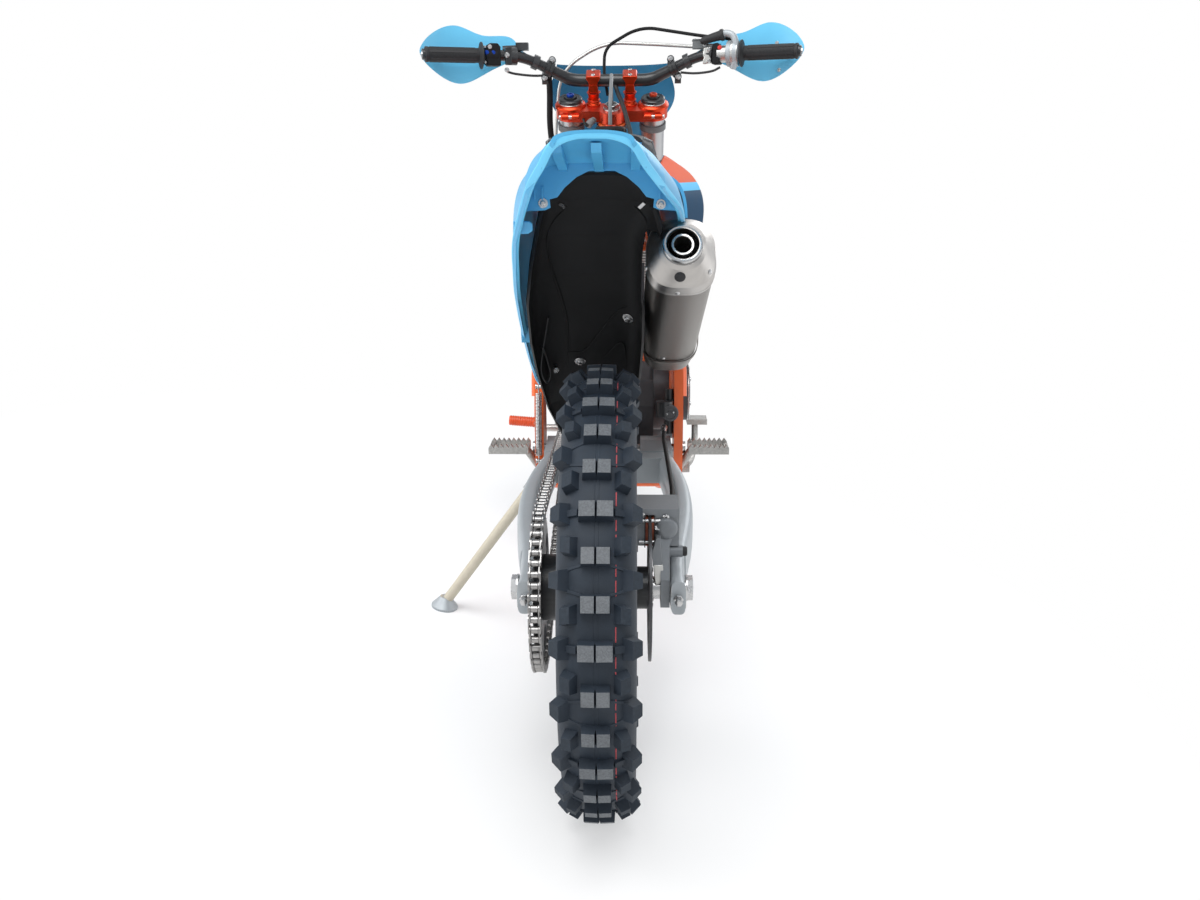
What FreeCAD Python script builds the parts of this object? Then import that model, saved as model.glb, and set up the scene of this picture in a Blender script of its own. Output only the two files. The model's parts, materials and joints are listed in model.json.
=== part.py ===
import FreeCAD, Part
import math
import os

from FreeCAD import Vector as V

# Enduro dirt bike on its side stand, in millimetres.
# It is modelled upright: X to the rider's right, Y forward, Z up, with the
# ground under the rear axle at the origin. It is then leaned onto its stand.

# Chassis geometry
WHEELBASE = 1482.0
LEAN_DEG = 11.0
RAKE_DEG = 26.5
TRAIL = 108.0
CLAMP_OFFSET = 22.0

# Rear wheel
REAR_TYRE_W = 118.0
REAR_TYRE_R = 337.0
REAR_TYRE_WALL = 101.0
REAR_RIM_R = REAR_TYRE_R - REAR_TYRE_WALL
REAR_RIM_W = 66.0
REAR_HUB_R = 32.0
REAR_HUB_LEFT = 95.0
REAR_FLANGE_X = 40.0
REAR_FLANGE_R = 52.0
REAR_DISC_R = 110.0
REAR_DISC_X = 72.0

# Tread, as lugs that stand on each tyre
LUG_H = 14.0
LUG_REACH = 5.0
REAR_LUG_W = 38.0
REAR_LUG_LONG = 22.0
REAR_LUG_ROWS = 36
FRONT_LUG_W = 32.0
FRONT_LUG_LONG = 24.0
FRONT_LUG_ROWS = 20

# Front wheel, between the fork legs
FORK_HALF = 96.0
FRONT_TYRE_W = 92.0
FRONT_RIM_R = 273.0
FRONT_TYRE_WALL = 75.0
FRONT_TYRE_R = FRONT_RIM_R + FRONT_TYRE_WALL
FRONT_RIM_W = 50.0
FRONT_HUB_R = 27.0
FRONT_HUB_RIGHT = FORK_HALF - 50.0
FRONT_FLANGE_X = FORK_HALF - 68.0
FRONT_FLANGE_R = 36.0
FRONT_DISC_R = 130.0
FRONT_DISC_X = 38.0 - FORK_HALF

RIM_WALL = 4.0
RIM_LIP = 9.0
BEAD_GAP = 0.3
RIM_DEPTH = 20.0
DISC_T = 4.0
SPOKE_R = 2.0
SPOKES = 36
REAR_AXLE_R = 12.5
REAR_AXLE_HALF = 128.0
REAR_AXLE_NUT_END = 137.0
FRONT_AXLE_R = 12.0
REAR_AXLE_BORE_R = 7.0
FRONT_AXLE_BORE_R = 7.0
BORE_CLEARANCE = 0.05

# Final drive
CHAIN_PITCH = 15.875
REAR_TEETH = 48
FRONT_TEETH = 13
CHAIN_X = -92.0
CHAIN_W = 18.0
CHAIN_H = 15.0
CHAIN_WAIST = 2.5
FRONT_SPROCKET_Y = 660.0
FRONT_SPROCKET_Z = 405.0
SPROCKET_T = 7.0
SPROCKET_GAP = 5.0

# Swingarm
PIVOT_Y = 588.0
PIVOT_Z = 396.0
SWINGARM_T = 34.0
SWINGARM_MID_X = 131.0
SWINGARM_REAR_X = 114.0
SWINGARM_H = 78.0

# Fork and bars, measured from the steering axis
FORK_OUTER_R = 27.0
FORK_INNER_R = 24.0
FORK_TOP = 1222.0
FORK_OUTER_END = 680.0
TOP_CLAMP_Z = 1180.0
TOP_CLAMP_T = 26.0
LOW_CLAMP_Z = 962.0
LOW_CLAMP_T = 38.0
HEAD_R = 32.0
HEAD_GAP = 3.0
STEM_R = 15.0
STEM_BORE_R = 10.0
BAR_R = 14.3
BAR_TUBE_R = 11.1
BAR_CLAMP_X = 42.0
GRIP_R = 16.0
BAR_CENTRE = V(0, WHEELBASE - 432, 1142)
BAR_KNEE_1 = V(90, WHEELBASE - 432, 1142)
BAR_KNEE_2 = V(200, WHEELBASE - 462, 1192)
BAR_END = V(413, WHEELBASE - 534, 1192)
GRIP_LENGTH = 128.0

# Side stand
STAND_PIVOT = V(-151, 482, 345)
STAND_FOOT = V(-345, 522, 0)
STAND_LEG_R = 10.5
STAND_PIN_R = 7.0
STAND_FOOT_R = 27.0

PEG_TEETH = 8
ARCH_Y = -88.0
ARCH_MID_X = 5.0
PANEL_T = 3.5
FRAME_REACH = 537.95
SEAT_GAP = 0.3
SPAR_R = 18.0
PLATE_IN = 132.0
PLATE_OUT = 150.0
PIVOT_R = 8.0

LEAN = math.radians(LEAN_DEG)
RAKE = math.radians(RAKE_DEG)
STEER_GROUND_Y = WHEELBASE + TRAIL


def carcass_section(r, w, bead_r, rim_w):
    """Section of a tyre below its lugs, as (x, radius) pairs."""
    half = w / 2 - LUG_REACH
    wall = r - LUG_H - bead_r
    seat = rim_w / 2 - RIM_WALL - BEAD_GAP
    top = r - LUG_H
    crown = [
        (half * 0.36, top), (half * 0.72, top - 0.07 * wall), (half * 0.95, top - 0.22 * wall),
        (half, top - 0.38 * wall), (half * 0.88, top - 0.68 * wall),
        (half * 0.66, bead_r + RIM_LIP + 2.5), (seat, bead_r + RIM_LIP + 1.0), (seat, bead_r + BEAD_GAP),
    ]
    return [(-x, y) for x, y in reversed(crown)] + crown


def resting_height(radius, half_w):
    """Height of the axle when the wheel leans onto the edge of its centre lugs."""
    return radius + half_w * math.tan(LEAN)


REAR_AXLE_Z = resting_height(REAR_TYRE_R, REAR_LUG_W / 2)
FRONT_AXLE_Z = resting_height(FRONT_TYRE_R, FRONT_LUG_W / 2)


def steer_point(x, forward, along):
    """A point given across, ahead of and up along the steering axis."""
    y = STEER_GROUND_Y + forward * math.cos(RAKE) - along * math.sin(RAKE)
    z = forward * math.sin(RAKE) + along * math.cos(RAKE)
    return V(x, y, z)


def front(x, back, z):
    """A point measured back from where the steering axis meets the ground."""
    return V(x, STEER_GROUND_Y - back, z)


def fore_scale():
    """How long the frame is ahead of the swingarm pivot, against how it was drawn."""
    return (steer_point(0, 0, 1040).y - PIVOT_Y) / FRAME_REACH


def fore(y):
    """Ahead of the swingarm pivot, lengths follow the steering head."""
    return y if y < PIVOT_Y else PIVOT_Y + (y - PIVOT_Y) * fore_scale()


def mid(x, y, z):
    return V(x, fore(y), z)


def to_steer(shape):
    """Moves a shape drawn with Z along the steering axis onto the bike."""
    shape.rotate(V(0, 0, 0), V(1, 0, 0), RAKE_DEG)
    shape.translate(V(0, STEER_GROUND_Y, 0))
    return shape


BAR_AHEAD = (BAR_CENTRE.y - STEER_GROUND_Y) * math.cos(RAKE) + BAR_CENTRE.z * math.sin(RAKE)
BAR_ALONG = (STEER_GROUND_Y - BAR_CENTRE.y) * math.sin(RAKE) + BAR_CENTRE.z * math.cos(RAKE)
AXLE_AHEAD = (FRONT_AXLE_Z * math.sin(RAKE) - TRAIL * math.cos(RAKE))
AXLE_ALONG = (FRONT_AXLE_Z * math.cos(RAKE) + TRAIL * math.sin(RAKE))


# Shape helpers

def box(x, y, z):
    """A box from three pairs of limits."""
    return Part.makeBox(x[1] - x[0], y[1] - y[0], z[1] - z[0], V(x[0], y[0], z[0]))


def rod(a, b, r):
    d = b - a
    return Part.makeCylinder(r, d.Length, a, d)


def cone(a, b, r1, r2):
    d = b - a
    return Part.makeCone(r1, r2, d.Length, a, d)


def tube_x(x0, x1, y, z, r):
    return rod(V(x0, y, z), V(x1, y, z), r)


def fuse(shapes):
    whole = shapes[0]
    if len(shapes) > 1:
        whole = whole.multiFuse(shapes[1:])
    return whole.removeSplitter()


def mirror(shape):
    return shape.mirror(V(0, 0, 0), V(1, 0, 0))


def both(shape):
    return Part.makeCompound([shape, mirror(shape)])


def path(points, share=0.42):
    """Straight runs joined by tangent arcs, as large as the runs allow."""
    edges = []
    here = points[0]
    for k in range(1, len(points) - 1):
        p, a, b = points[k], points[k - 1], points[k + 1]
        da, db = (a - p), (b - p)
        short = min(da.Length, db.Length)
        cut = share * short
        da.normalize()
        db.normalize()
        start, end = p + da * cut, p + db * cut
        half = (math.pi - da.getAngle(db)) / 2
        radius = cut / math.tan(half)
        inward = (da + db).normalize()
        centre = p + inward * math.hypot(radius, cut)
        mid = centre - inward * radius
        if (start - here).Length > 1e-6:
            edges.append(Part.LineSegment(here, start).toShape())
        edges.append(Part.Arc(start, mid, end).toShape())
        here = end
    edges.append(Part.LineSegment(here, points[-1]).toShape())
    return Part.Wire(edges)


def pipe(points, r, share=0.42):
    wire = path(points, share)
    start = points[0]
    ring = Part.Wire([Part.Circle(start, points[1] - start, r).toShape()])
    return wire.makePipeShell([ring], True, False)


def closed_curve(points, quarters=4):
    """A smooth closed curve through the points, split at its quarters."""
    curve = Part.BSplineCurve()
    curve.interpolate(points, PeriodicFlag=True)
    knots = curve.getKnots()
    step = len(points) // quarters
    cuts = [knots[k * step] for k in range(quarters)] + [curve.LastParameter]
    return Part.Wire([curve.toShape(a, b) for a, b in zip(cuts, cuts[1:])])


def oval(centre, across, up, half_w, half_h, power=2.5, count=16):
    """A rounded closed section about centre, in the plane of two unit vectors."""
    points = []
    for k in range(count):
        t = 2 * math.pi * k / count
        c, s = math.cos(t), math.sin(t)
        u = half_w * math.copysign(abs(c) ** (2 / power), c)
        v = half_h * math.copysign(abs(s) ** (2 / power), s)
        points.append(centre + across * u + up * v)
    return closed_curve(points)


def loft(wires, ruled=False):
    return Part.makeLoft(wires, True, ruled)


def sheet_section(points, inner):
    """A thin closed section: an outer curve and an inner curve, end to end."""
    a = Part.BSplineCurve()
    a.interpolate(points)
    b = Part.BSplineCurve()
    b.interpolate(inner)
    ends = [Part.LineSegment(points[-1], inner[-1]), Part.LineSegment(inner[0], points[0])]
    edges = [a.toShape(), ends[0].toShape(), b.toShape().reversed(), ends[1].toShape()]
    return Part.Wire(Part.__sortEdges__(edges))


def revolve(profile, y, z):
    """Turns a closed outline of (x, radius) pairs about a wheel's axle."""
    points = [V(x, y, z + r) for x, r in profile]
    points.append(points[0])
    face = Part.Face(Part.makePolygon(points))
    return face.revolve(V(0, y, z), V(1, 0, 0), 360)


def slab(outline, x0, x1):
    """An outline of (y, z) pairs, filled from x0 to x1."""
    points = [V(x0, y, z) for y, z in outline]
    points.append(points[0])
    return Part.Face(Part.makePolygon(points)).extrude(V(x1 - x0, 0, 0))


def mid_slab(outline, x0, x1):
    """A slab whose outline follows the frame ahead of the pivot."""
    return slab([(fore(y), z) for y, z in outline], x0, x1)


# Wheels

def faceted(section, y, z, sides):
    """A ring of flat facets whose middles keep the section's radii."""
    grow = 1 / math.cos(math.pi / sides)
    rings = []
    for k in range(sides):
        a = 2 * math.pi * (k + 0.5) / sides
        rings.append([V(x, y + r * grow * math.cos(a), z + r * grow * math.sin(a)) for x, r in section])
    faces = []
    for k in range(sides):
        here, there = rings[k], rings[(k + 1) % sides]
        for j in range(len(section)):
            n = (j + 1) % len(section)
            faces.append(Part.Face(Part.makePolygon([here[j], here[n], there[n], there[j], here[j]])))
    return Part.Solid(Part.Shell(faces))


def lug(x, radius, degrees, tilt, width, length, y, z):
    """A tread block whose top stands at a radius, tilted out from the middle."""
    block = Part.makeBox(width, length, LUG_H + 3, V(-width / 2, -length / 2, -LUG_H - 3))
    block.rotate(V(0, 0, 0), V(0, 1, 0), tilt)
    block.translate(V(x, 0, radius))
    block.rotate(V(0, 0, 0), V(1, 0, 0), degrees - 90)
    block.translate(V(0, y, z))
    return block


def tyre(y, z, section, sides, lugs):
    carcass = faceted(section, y, z, sides)
    return carcass.multiFuse([lug(*one, y, z) for one in lugs])


def rear_tyre_part():
    section = carcass_section(REAR_TYRE_R, REAR_TYRE_W, REAR_RIM_R, REAR_RIM_W)
    side_x, side_r = REAR_TYRE_W / 2 - 8.0, REAR_TYRE_R - 18.5
    step = 360 / REAR_LUG_ROWS
    lugs = []
    for k in range(REAR_LUG_ROWS):
        lugs.append((0, REAR_TYRE_R, step * k, 0, REAR_LUG_W, REAR_LUG_LONG))
    for k in range(REAR_LUG_ROWS * 2 // 3):
        for side in (-1, 1):
            lugs.append((side * side_x, side_r, step * 1.5 * k + 5, side * 46, 18, 24))
    return tyre(0, REAR_AXLE_Z, section, REAR_LUG_ROWS, lugs)


def front_tyre_part():
    section = carcass_section(FRONT_TYRE_R, FRONT_TYRE_W, FRONT_RIM_R, FRONT_RIM_W)
    side_x, side_r = FRONT_TYRE_W / 2 - 7.5, FRONT_TYRE_R - 18.5
    step = 360 / FRONT_LUG_ROWS
    lugs = []
    for k in range(FRONT_LUG_ROWS):
        lugs.append((0, FRONT_TYRE_R, step * k - 90, 0, FRONT_LUG_W, FRONT_LUG_LONG))
        for side in (-1, 1):
            lugs.append((side * side_x, side_r, step * (k + 0.5) - 90, side * 46, 16, 22))
    return tyre(WHEELBASE, FRONT_AXLE_Z, section, FRONT_LUG_ROWS + 6, lugs)


def rim(y, z, r, w):
    """A channel that the tyre's beads sit in."""
    half = w / 2
    lip = r + RIM_LIP
    profile = [
        (-half, lip), (-half + RIM_WALL, lip), (-half + RIM_WALL, r),
        (half - RIM_WALL, r), (half - RIM_WALL, lip), (half, lip),
        (half, r - 6.0), (half * 0.45, r - RIM_DEPTH), (-half * 0.45, r - RIM_DEPTH),
        (-half, r - 6.0),
    ]
    return revolve(profile, y, z)


def hub(y, z, left, right, end_r, flange_x, flange_r, mid_r, bore_r):
    """A hub with two spoke flanges between its two ends."""
    t = 3.5
    profile = [
        (-left, bore_r), (-left, end_r), (-flange_x - 8, end_r), (-flange_x - t, flange_r),
        (-flange_x + t, flange_r), (-flange_x + t + 6, mid_r), (flange_x - t - 6, mid_r),
        (flange_x - t, flange_r), (flange_x + t, flange_r), (flange_x + 8, end_r),
        (right, end_r), (right, bore_r),
    ]
    return revolve(profile, y, z)


def spokes(y, z, flange_x, flange_r, rim_r):
    """Crossed spokes from the two flanges to the rim."""
    made = []
    lean = math.radians(38)
    for k in range(SPOKES):
        side = 1 if k % 2 else -1
        cross = 1 if (k // 2) % 2 else -1
        outer = 2 * math.pi * k / SPOKES
        inner = outer + cross * lean
        root, tip = flange_r - 4.0, rim_r
        a = V(side * flange_x, y + root * math.cos(inner), z + root * math.sin(inner))
        b = V(side * 3.0, y + tip * math.cos(outer), z + tip * math.sin(outer))
        made.append(rod(a, b, SPOKE_R))
    return Part.makeCompound(made)


def disc(y, z, x, r, inner_r, arms=6):
    """A brake disc: a swept ring on arms from its hub."""
    whole = tube_x(x - DISC_T / 2, x + DISC_T / 2, y, z, r)
    whole = whole.cut(tube_x(x - DISC_T, x + DISC_T, y, z, inner_r))
    cuts = []
    mid = r - 30 - (r - 30 - inner_r) * 0.42
    for k in range(arms):
        a = 2 * math.pi * k / arms
        cuts.append(tube_x(x - DISC_T, x + DISC_T, y + mid * math.cos(a), z + mid * math.sin(a),
                           mid * math.pi / arms - 5))
    return whole.cut(Part.makeCompound(cuts))


def sprocket():
    """A ring that stands just inside the chain, on a carrier round the hub."""
    pitch_r = CHAIN_PITCH / 2 / math.sin(math.pi / REAR_TEETH)
    root = pitch_r - CHAIN_H / 2 - SPROCKET_GAP
    whole = tube_x(CHAIN_X - SPROCKET_T / 2, CHAIN_X + SPROCKET_T / 2, 0, REAR_AXLE_Z, root)
    cuts = []
    for k in range(6):
        a = 2 * math.pi * (k + 0.5) / 6
        cuts.append(tube_x(CHAIN_X - 20, CHAIN_X + 20, 82 * math.cos(a), REAR_AXLE_Z + 82 * math.sin(a), 19))
    ring = whole.cut(Part.makeCompound(cuts))
    carrier = tube_x(CHAIN_X, -REAR_FLANGE_X - 12, 0, REAR_AXLE_Z, REAR_HUB_R + 18)
    return fuse([ring, carrier]).cut(tube_x(-200, 0, 0, REAR_AXLE_Z, REAR_HUB_R + SEAT_GAP))


# Main frame, engine and bodywork

def frame_spar(extra=0.0):
    """The left main tube from the steering head to the pivot plate."""
    return pipe([steer_point(-14, -16, 1110), mid(-98, 900, 800), mid(-119, 700, 665), V(-141, 620, 560),
                 V(-141, 606, 500)], SPAR_R + extra)


def seat_rail_root(extra=0.0):
    return pipe([mid(-92, 905, 806), mid(-66, 770, 836), V(-64, 652, 845)], 12 + extra)


def down_tube(extra=0.0):
    return pipe([steer_point(0, -24, 1040), mid(0, 945, 560), mid(0, 925, 410)], 21 + extra)


def pivot_plate():
    outline = [(560, 372), (568, 318), (622, 312), (640, 400),
               (642, 540), (612, 604), (584, 560), (562, 470)]
    return slab(outline, -PLATE_OUT, -PLATE_IN)


def frame_part():
    head = rod(steer_point(0, 0, LOW_CLAMP_Z + LOW_CLAMP_T + HEAD_GAP),
               steer_point(0, 0, TOP_CLAMP_Z - HEAD_GAP), HEAD_R)
    bore = rod(steer_point(0, 0, LOW_CLAMP_Z), steer_point(0, 0, TOP_CLAMP_Z + 40), STEM_R + BORE_CLEARANCE)
    down = down_tube()
    brace = rod(mid(-8, 1005, 750), mid(-94, 905, 785), 11)
    cradle = pipe([mid(-4, 925, 430), mid(-40, 905, 310), mid(-96, 800, 300), V(-104, 640, 302),
                   V(-141, 596, 330)], 14)
    cross_low = tube_x(-PLATE_OUT + 2, PLATE_OUT - 2, 598, 322, 13)
    cross_top = tube_x(-PLATE_OUT + 2, PLATE_OUT - 2, 606, 586, 13)
    shock_tube = tube_x(-64, 64, 652, 845, 12)
    left = [frame_spar(), seat_rail_root(), brace, cradle, pivot_plate()]
    whole = fuse([head, down, cross_low, cross_top, shock_tube] + left + [mirror(s) for s in left])
    pivot = tube_x(-200, 200, PIVOT_Y, PIVOT_Z, PIVOT_R + BORE_CLEARANCE)
    return whole.cut(bore).cut(pivot)


def top_rail(extra=0.0):
    return pipe([V(-64, 639.7, 845), V(-68, 420, 878), V(-62, 60, 916), V(-54, -42, 940.4)], 10 + extra)


def subframe_part():
    low = pipe([V(-139, 604, 604.8), V(-86, 480, 700), V(-62, 150, 896)], 9)
    tie = tube_x(-62, 62, 60, 916, 8)
    return fuse([top_rail(), low, tie, mirror(top_rail()), mirror(low)])


def engine_part():
    """Crankcase, cylinder and head, held by the pivot bolt and the down tube."""
    case = mid_slab([(640, 322), (850, 322), (892, 400), (878, 505), (760, 545), (668, 520),
                     (646, 470), (646, 372)], -82, 92)
    barrel = mid_slab([(745, 520), (880, 490), (905, 640), (780, 660)], -62, 62)
    head = mid_slab([(772, 650), (912, 628), (925, 735), (800, 752)], -74, 74)
    lug = mid_slab([(560, 376), (640, 340), (650, 444), (560, 416)], -58, 58)
    nose = box((-26, 26), (fore(860), fore(935)), (455, 500))
    whole = fuse([case, barrel, head, lug, nose]).cut(down_tube(SEAT_GAP))
    return whole.cut(tube_x(-200, 200, PIVOT_Y, PIVOT_Z, PIVOT_R + BORE_CLEARANCE))


def engine_covers_part():
    """Round covers on both sides of the crankcase, in step with its length."""
    grow = math.sqrt(fore_scale())
    clutch = tube_x(92.3, 150, fore(722), 474, 72 * grow)
    clutch_lid = tube_x(150, 168, fore(716), 484, 60 * grow)
    pump = tube_x(92.3, 140, fore(822), 398, 44 * grow)
    magneto = tube_x(-124, -82.3, fore(826), 440, 58 * grow)
    right = fuse([clutch, clutch_lid, pump])
    return Part.makeCompound([right, magneto])


def header_part():
    path_points = [mid(44, 905, 690), mid(58, 975, 690), mid(120, 962, 590), mid(160, 850, 585),
                   mid(164, 700, 655), V(130, 500, 690), V(108, 340, 636)]
    return pipe(path_points, 18, 0.4).cut(engine_part()).cut(silencer_solid())


SILENCER_FRONT = V(107, 345, 640)
SILENCER_BACK = V(111, -20, 838)
SILENCER_CLEAR = 6.0


def silencer_solid(extra=0.0):
    """Body and end cap as one run of rounded sections."""
    ahead = (SILENCER_BACK - SILENCER_FRONT).normalize()
    across = V(1, 0, 0)
    up = across.cross(ahead).normalize()

    def ring(along, half_w, half_h, power):
        return oval(SILENCER_FRONT + ahead * along, across, up, half_w + extra, half_h + extra, power)
    body = loft([ring(12 - extra, 35, 34, 3.0), ring(26, 42, 43, 3.0), ring(76, 45, 49, 3.0),
                 ring(408, 46.5, 51, 3.0)], True)
    cap = loft([ring(408, 48, 52.5, 3.0), ring(424, 45.5, 50, 2.8), ring(446, 32, 34, 2.2),
                ring(450, 28, 29, 2.0)], True)
    outlet = rod(SILENCER_FRONT + ahead * 440, SILENCER_FRONT + ahead * (456 + extra), 25.5 + extra)
    return fuse([body, cap, outlet])


def silencer_stay(extra=0.0):
    return rod(V(81, 70, 828), V(65, 80, 896), 7 + extra)


def silencer_part():
    ahead = (SILENCER_BACK - SILENCER_FRONT).normalize()
    mouth = rod(SILENCER_FRONT + ahead * 436, SILENCER_FRONT + ahead * 470, 22)
    inner = rod(SILENCER_FRONT + ahead * 430, SILENCER_FRONT + ahead * 453, 15)
    bore = rod(SILENCER_FRONT + ahead * 390, SILENCER_FRONT + ahead * 470, 12)
    whole = fuse([silencer_solid(), silencer_stay()]).cut(mouth)
    return fuse([whole, inner]).cut(bore).cut(mirror(top_rail(SEAT_GAP)))


def swingarm_part():
    def section(x, y, z, half_t, half_h):
        return oval(V(x, y, z), V(1, 0, 0), V(0, 0, 1), half_t, half_h, 4, 16)
    t = SWINGARM_T / 2
    left = loft([
        section(-SWINGARM_REAR_X, -40, REAR_AXLE_Z, 11, 26),
        section(-SWINGARM_REAR_X, 26, REAR_AXLE_Z + 2, 12, 33),
        section(-SWINGARM_MID_X + 3, 160, 352, t, SWINGARM_H / 2),
        section(-SWINGARM_MID_X, 320, 368, t, SWINGARM_H / 2 + 3),
        section(-SWINGARM_MID_X + 20, 470, 388, t, 26),
    ])
    yoke = box((-124, 124), (446, 500), (364, 414))
    arms = [box((s * 95 - 31, s * 95 + 31), (490, PIVOT_Y), (368, 416)) for s in (-1, 1)]
    ends = [tube_x(s * 95 - 31, s * 95 + 31, PIVOT_Y, PIVOT_Z, 24) for s in (-1, 1)]
    whole = fuse([left, mirror(left), yoke] + arms + ends)
    slot = tube_x(-200, 200, 0, REAR_AXLE_Z, REAR_AXLE_R + BORE_CLEARANCE)
    pivot = tube_x(-200, 200, PIVOT_Y, PIVOT_Z, PIVOT_R + BORE_CLEARANCE)
    sides = [(126, 150), (-150, -126), (90, 102), (-102, -90)]
    flats = [box(side, (-60, 60), (280, 400)) for side in sides]
    return whole.cut(slot).cut(pivot).cut(Part.makeCompound(flats))


def pivot_bolt_part():
    shaft = tube_x(-PLATE_OUT - 2, PLATE_OUT + 2, PIVOT_Y, PIVOT_Z, PIVOT_R)
    cap = tube_x(PLATE_OUT + 0.3, PLATE_OUT + 6.3, PIVOT_Y, PIVOT_Z, 13)
    return fuse([shaft, cap, mirror(cap)])


def shock_part():
    """Damper and coil from the swingarm's yoke to the frame's cross tube."""
    low, top = V(18, 478, 430), V(18, 652, 845)
    along = (top - low).normalize()
    eye_low = rod(low - V(14, 0, 0), low + V(14, 0, 0), 15.5)
    eye_top = rod(top - V(12, 0, 0), top + V(12, 0, 0), 24)
    body = rod(low, top - along * 16, 19)
    coil = rod(low + along * 55, low + along * 265, 36)
    return fuse([body, coil, eye_low, eye_top]).cut(rod(top - V(80, 0, 0), top + V(80, 0, 0), 12 + SEAT_GAP))


def tank_part():
    """The tank sits down over the frame tubes and stops short of the head."""
    wires = []
    for y, z, w, h in [(596, 914, 54, 38), (680, 916, 86, 66), (780, 925, 106, 84), (880, 935, 104, 84),
                       (960, 948, 72, 56), (1000, 952, 42, 36)]:
        wires.append(oval(V(0, fore(y), z), V(1, 0, 0), V(0, 0, 1), w, h, 2.8))
    tank = loft(wires, True)
    head_room = rod(steer_point(0, 0, 900), steer_point(0, 0, 1300), HEAD_R + 6)
    tubes = [frame_spar(SEAT_GAP), seat_rail_root(SEAT_GAP)]
    tubes += [mirror(tube) for tube in tubes]
    for clear in tubes + [head_room, shock_part(), tube_x(-64, 64, 652, 845, 13)]:
        tank = tank.cut(clear)
    solids = sorted(tank.Solids, key=lambda piece: piece.Volume)
    cap = rod(mid(0, 850, 1000), mid(0, 848, 1034), 30)
    return fuse([solids[-1], cap])


def seat_part():
    wires = []
    for y, z, w, h in [(-130, 988, 58, 8), (-20, 980, 74, 20), (150, 958, 84, 34), (330, 944, 80, 42),
                       (470, 944, 70, 42), (560, 964, 60, 36), (640, 1000, 50, 20), (700, 1014, 40, 8)]:
        wires.append(oval(V(0, fore(y), z), V(1, 0, 0), V(0, 0, 1), w, h, 3.2))
    seat = loft(wires, True)
    for clear in (top_rail(SEAT_GAP), mirror(top_rail(SEAT_GAP)), tube_x(-62, 62, 60, 916, 8 + SEAT_GAP)):
        seat = seat.cut(clear)
    seat = sorted(seat.Solids, key=lambda piece: piece.Volume)[-1]
    return seat.cut(grown_tank())


def grown_tank():
    """The tank's outline a little larger, which the seat's nose rests on."""
    wires = []
    for y, z, w, h in [(596, 914, 54, 38), (680, 916, 86, 66), (780, 925, 106, 84)]:
        wires.append(oval(V(0, fore(y), z), V(1, 0, 0), V(0, 0, 1), w + SEAT_GAP, h + SEAT_GAP, 2.8))
    return loft(wires, True)


def arch_section(y, z, half_w, drop, t, tilt_deg=0.0, power=4.0, start=-1.0, end=1.0):
    """A thin arch across the bike, or the stretch of it between two shares."""
    tilt = math.radians(tilt_deg)
    up = V(0, math.sin(tilt), math.cos(tilt))
    crown = V(0, y, z)
    outer, inner = [], []
    count = 10
    for k in range(count + 1):
        share = start + (end - start) * k / count
        x = half_w * math.sin(share * math.pi / 2)
        down = drop * abs(share) ** power
        outer.append(crown + V(x, 0, 0) - up * down)
        inner.append(crown + V(x * (half_w - t) / half_w, 0, 0) - up * (down + t))
    return sheet_section(outer, inner)


def fender_skirt():
    """A wall across the tail, open in a stepped arch for the wheel."""
    half_w, crown, drop = 110.8, 963.6, 107.0
    count = 12
    points = []
    for k in range(count + 1):
        share = -0.93 + 1.77 * k / count
        x = (half_w - 2) * math.sin(share * math.pi / 2)
        points.append(V(x, ARCH_Y, crown - 2 - drop * abs(share) ** 3.8))
    arch = [(100, 901), (73, 902.5), (66, 905.5), (67, 916),
            (57, 918.6), (47.5, 930.5), (32, 943.5), (16.5, 950.8)]
    points += [V(ARCH_MID_X + x, ARCH_Y, z) for x, z in arch]
    points += [V(ARCH_MID_X - x, ARCH_Y, z) for x, z in reversed(arch)]
    return Part.Face(Part.makePolygon(points + points[:1])).extrude(V(0, PANEL_T, 0))


def rear_fender_part():
    """The tail: a shell that grows deeper forward, with three ribs and a wall below."""
    stations = [(-262, 996, 46, 12, 2.2, 1.0), (-240, 993, 62, 34, 2.4, 1.0), (-200, 986, 82, 58, 2.7, 0.96),
                (-100, 966, 109, 100, 3.5, 0.87), (-20, 952, 119, 140, 4.0, 0.84)]
    sections = [arch_section(y, z, w, d, PANEL_T, 0, power, -1, end) for y, z, w, d, power, end in stations]
    shell = loft(sections, True)
    rib = [(-215, 983), (-75, 959.5), (-75, 949), (-205, 972)]
    ribs = [slab(rib, x - 6, x + 6) for x in (-44, 2, 48)]
    return fuse([shell, fender_skirt()] + ribs).cut(silencer_solid(SILENCER_CLEAR))


def side_panels_part():
    """Thin panels from the seat's edges down: deep on the left, short above the silencer."""
    deep = [(-19.7, 952, 119, 140), (40, 948, 124, 174), (140, 942, 127, 232), (250, 938, 127, 296),
            (330, 936, 121, 350), (372, 936, 116, 330), (420, 936, 110, 250), (470, 938, 104, 160)]
    short = [(-19.7, 952, 119, 70), (40, 948, 118, 66), (140, 942, 114, 80), (250, 938, 112, 110),
             (330, 936, 110, 150), (420, 936, 108, 170), (470, 938, 104, 150)]
    left = loft([arch_section(y, z, w, d, PANEL_T, 0, 4, -1, -0.52) for y, z, w, d in deep], True)
    right = loft([arch_section(y, z, w, d, PANEL_T, 0, 4, 0.52, 1) for y, z, w, d in short], True)
    return Part.makeCompound([left, right.cut(silencer_solid(SILENCER_CLEAR)).cut(silencer_stay(2))])


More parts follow.
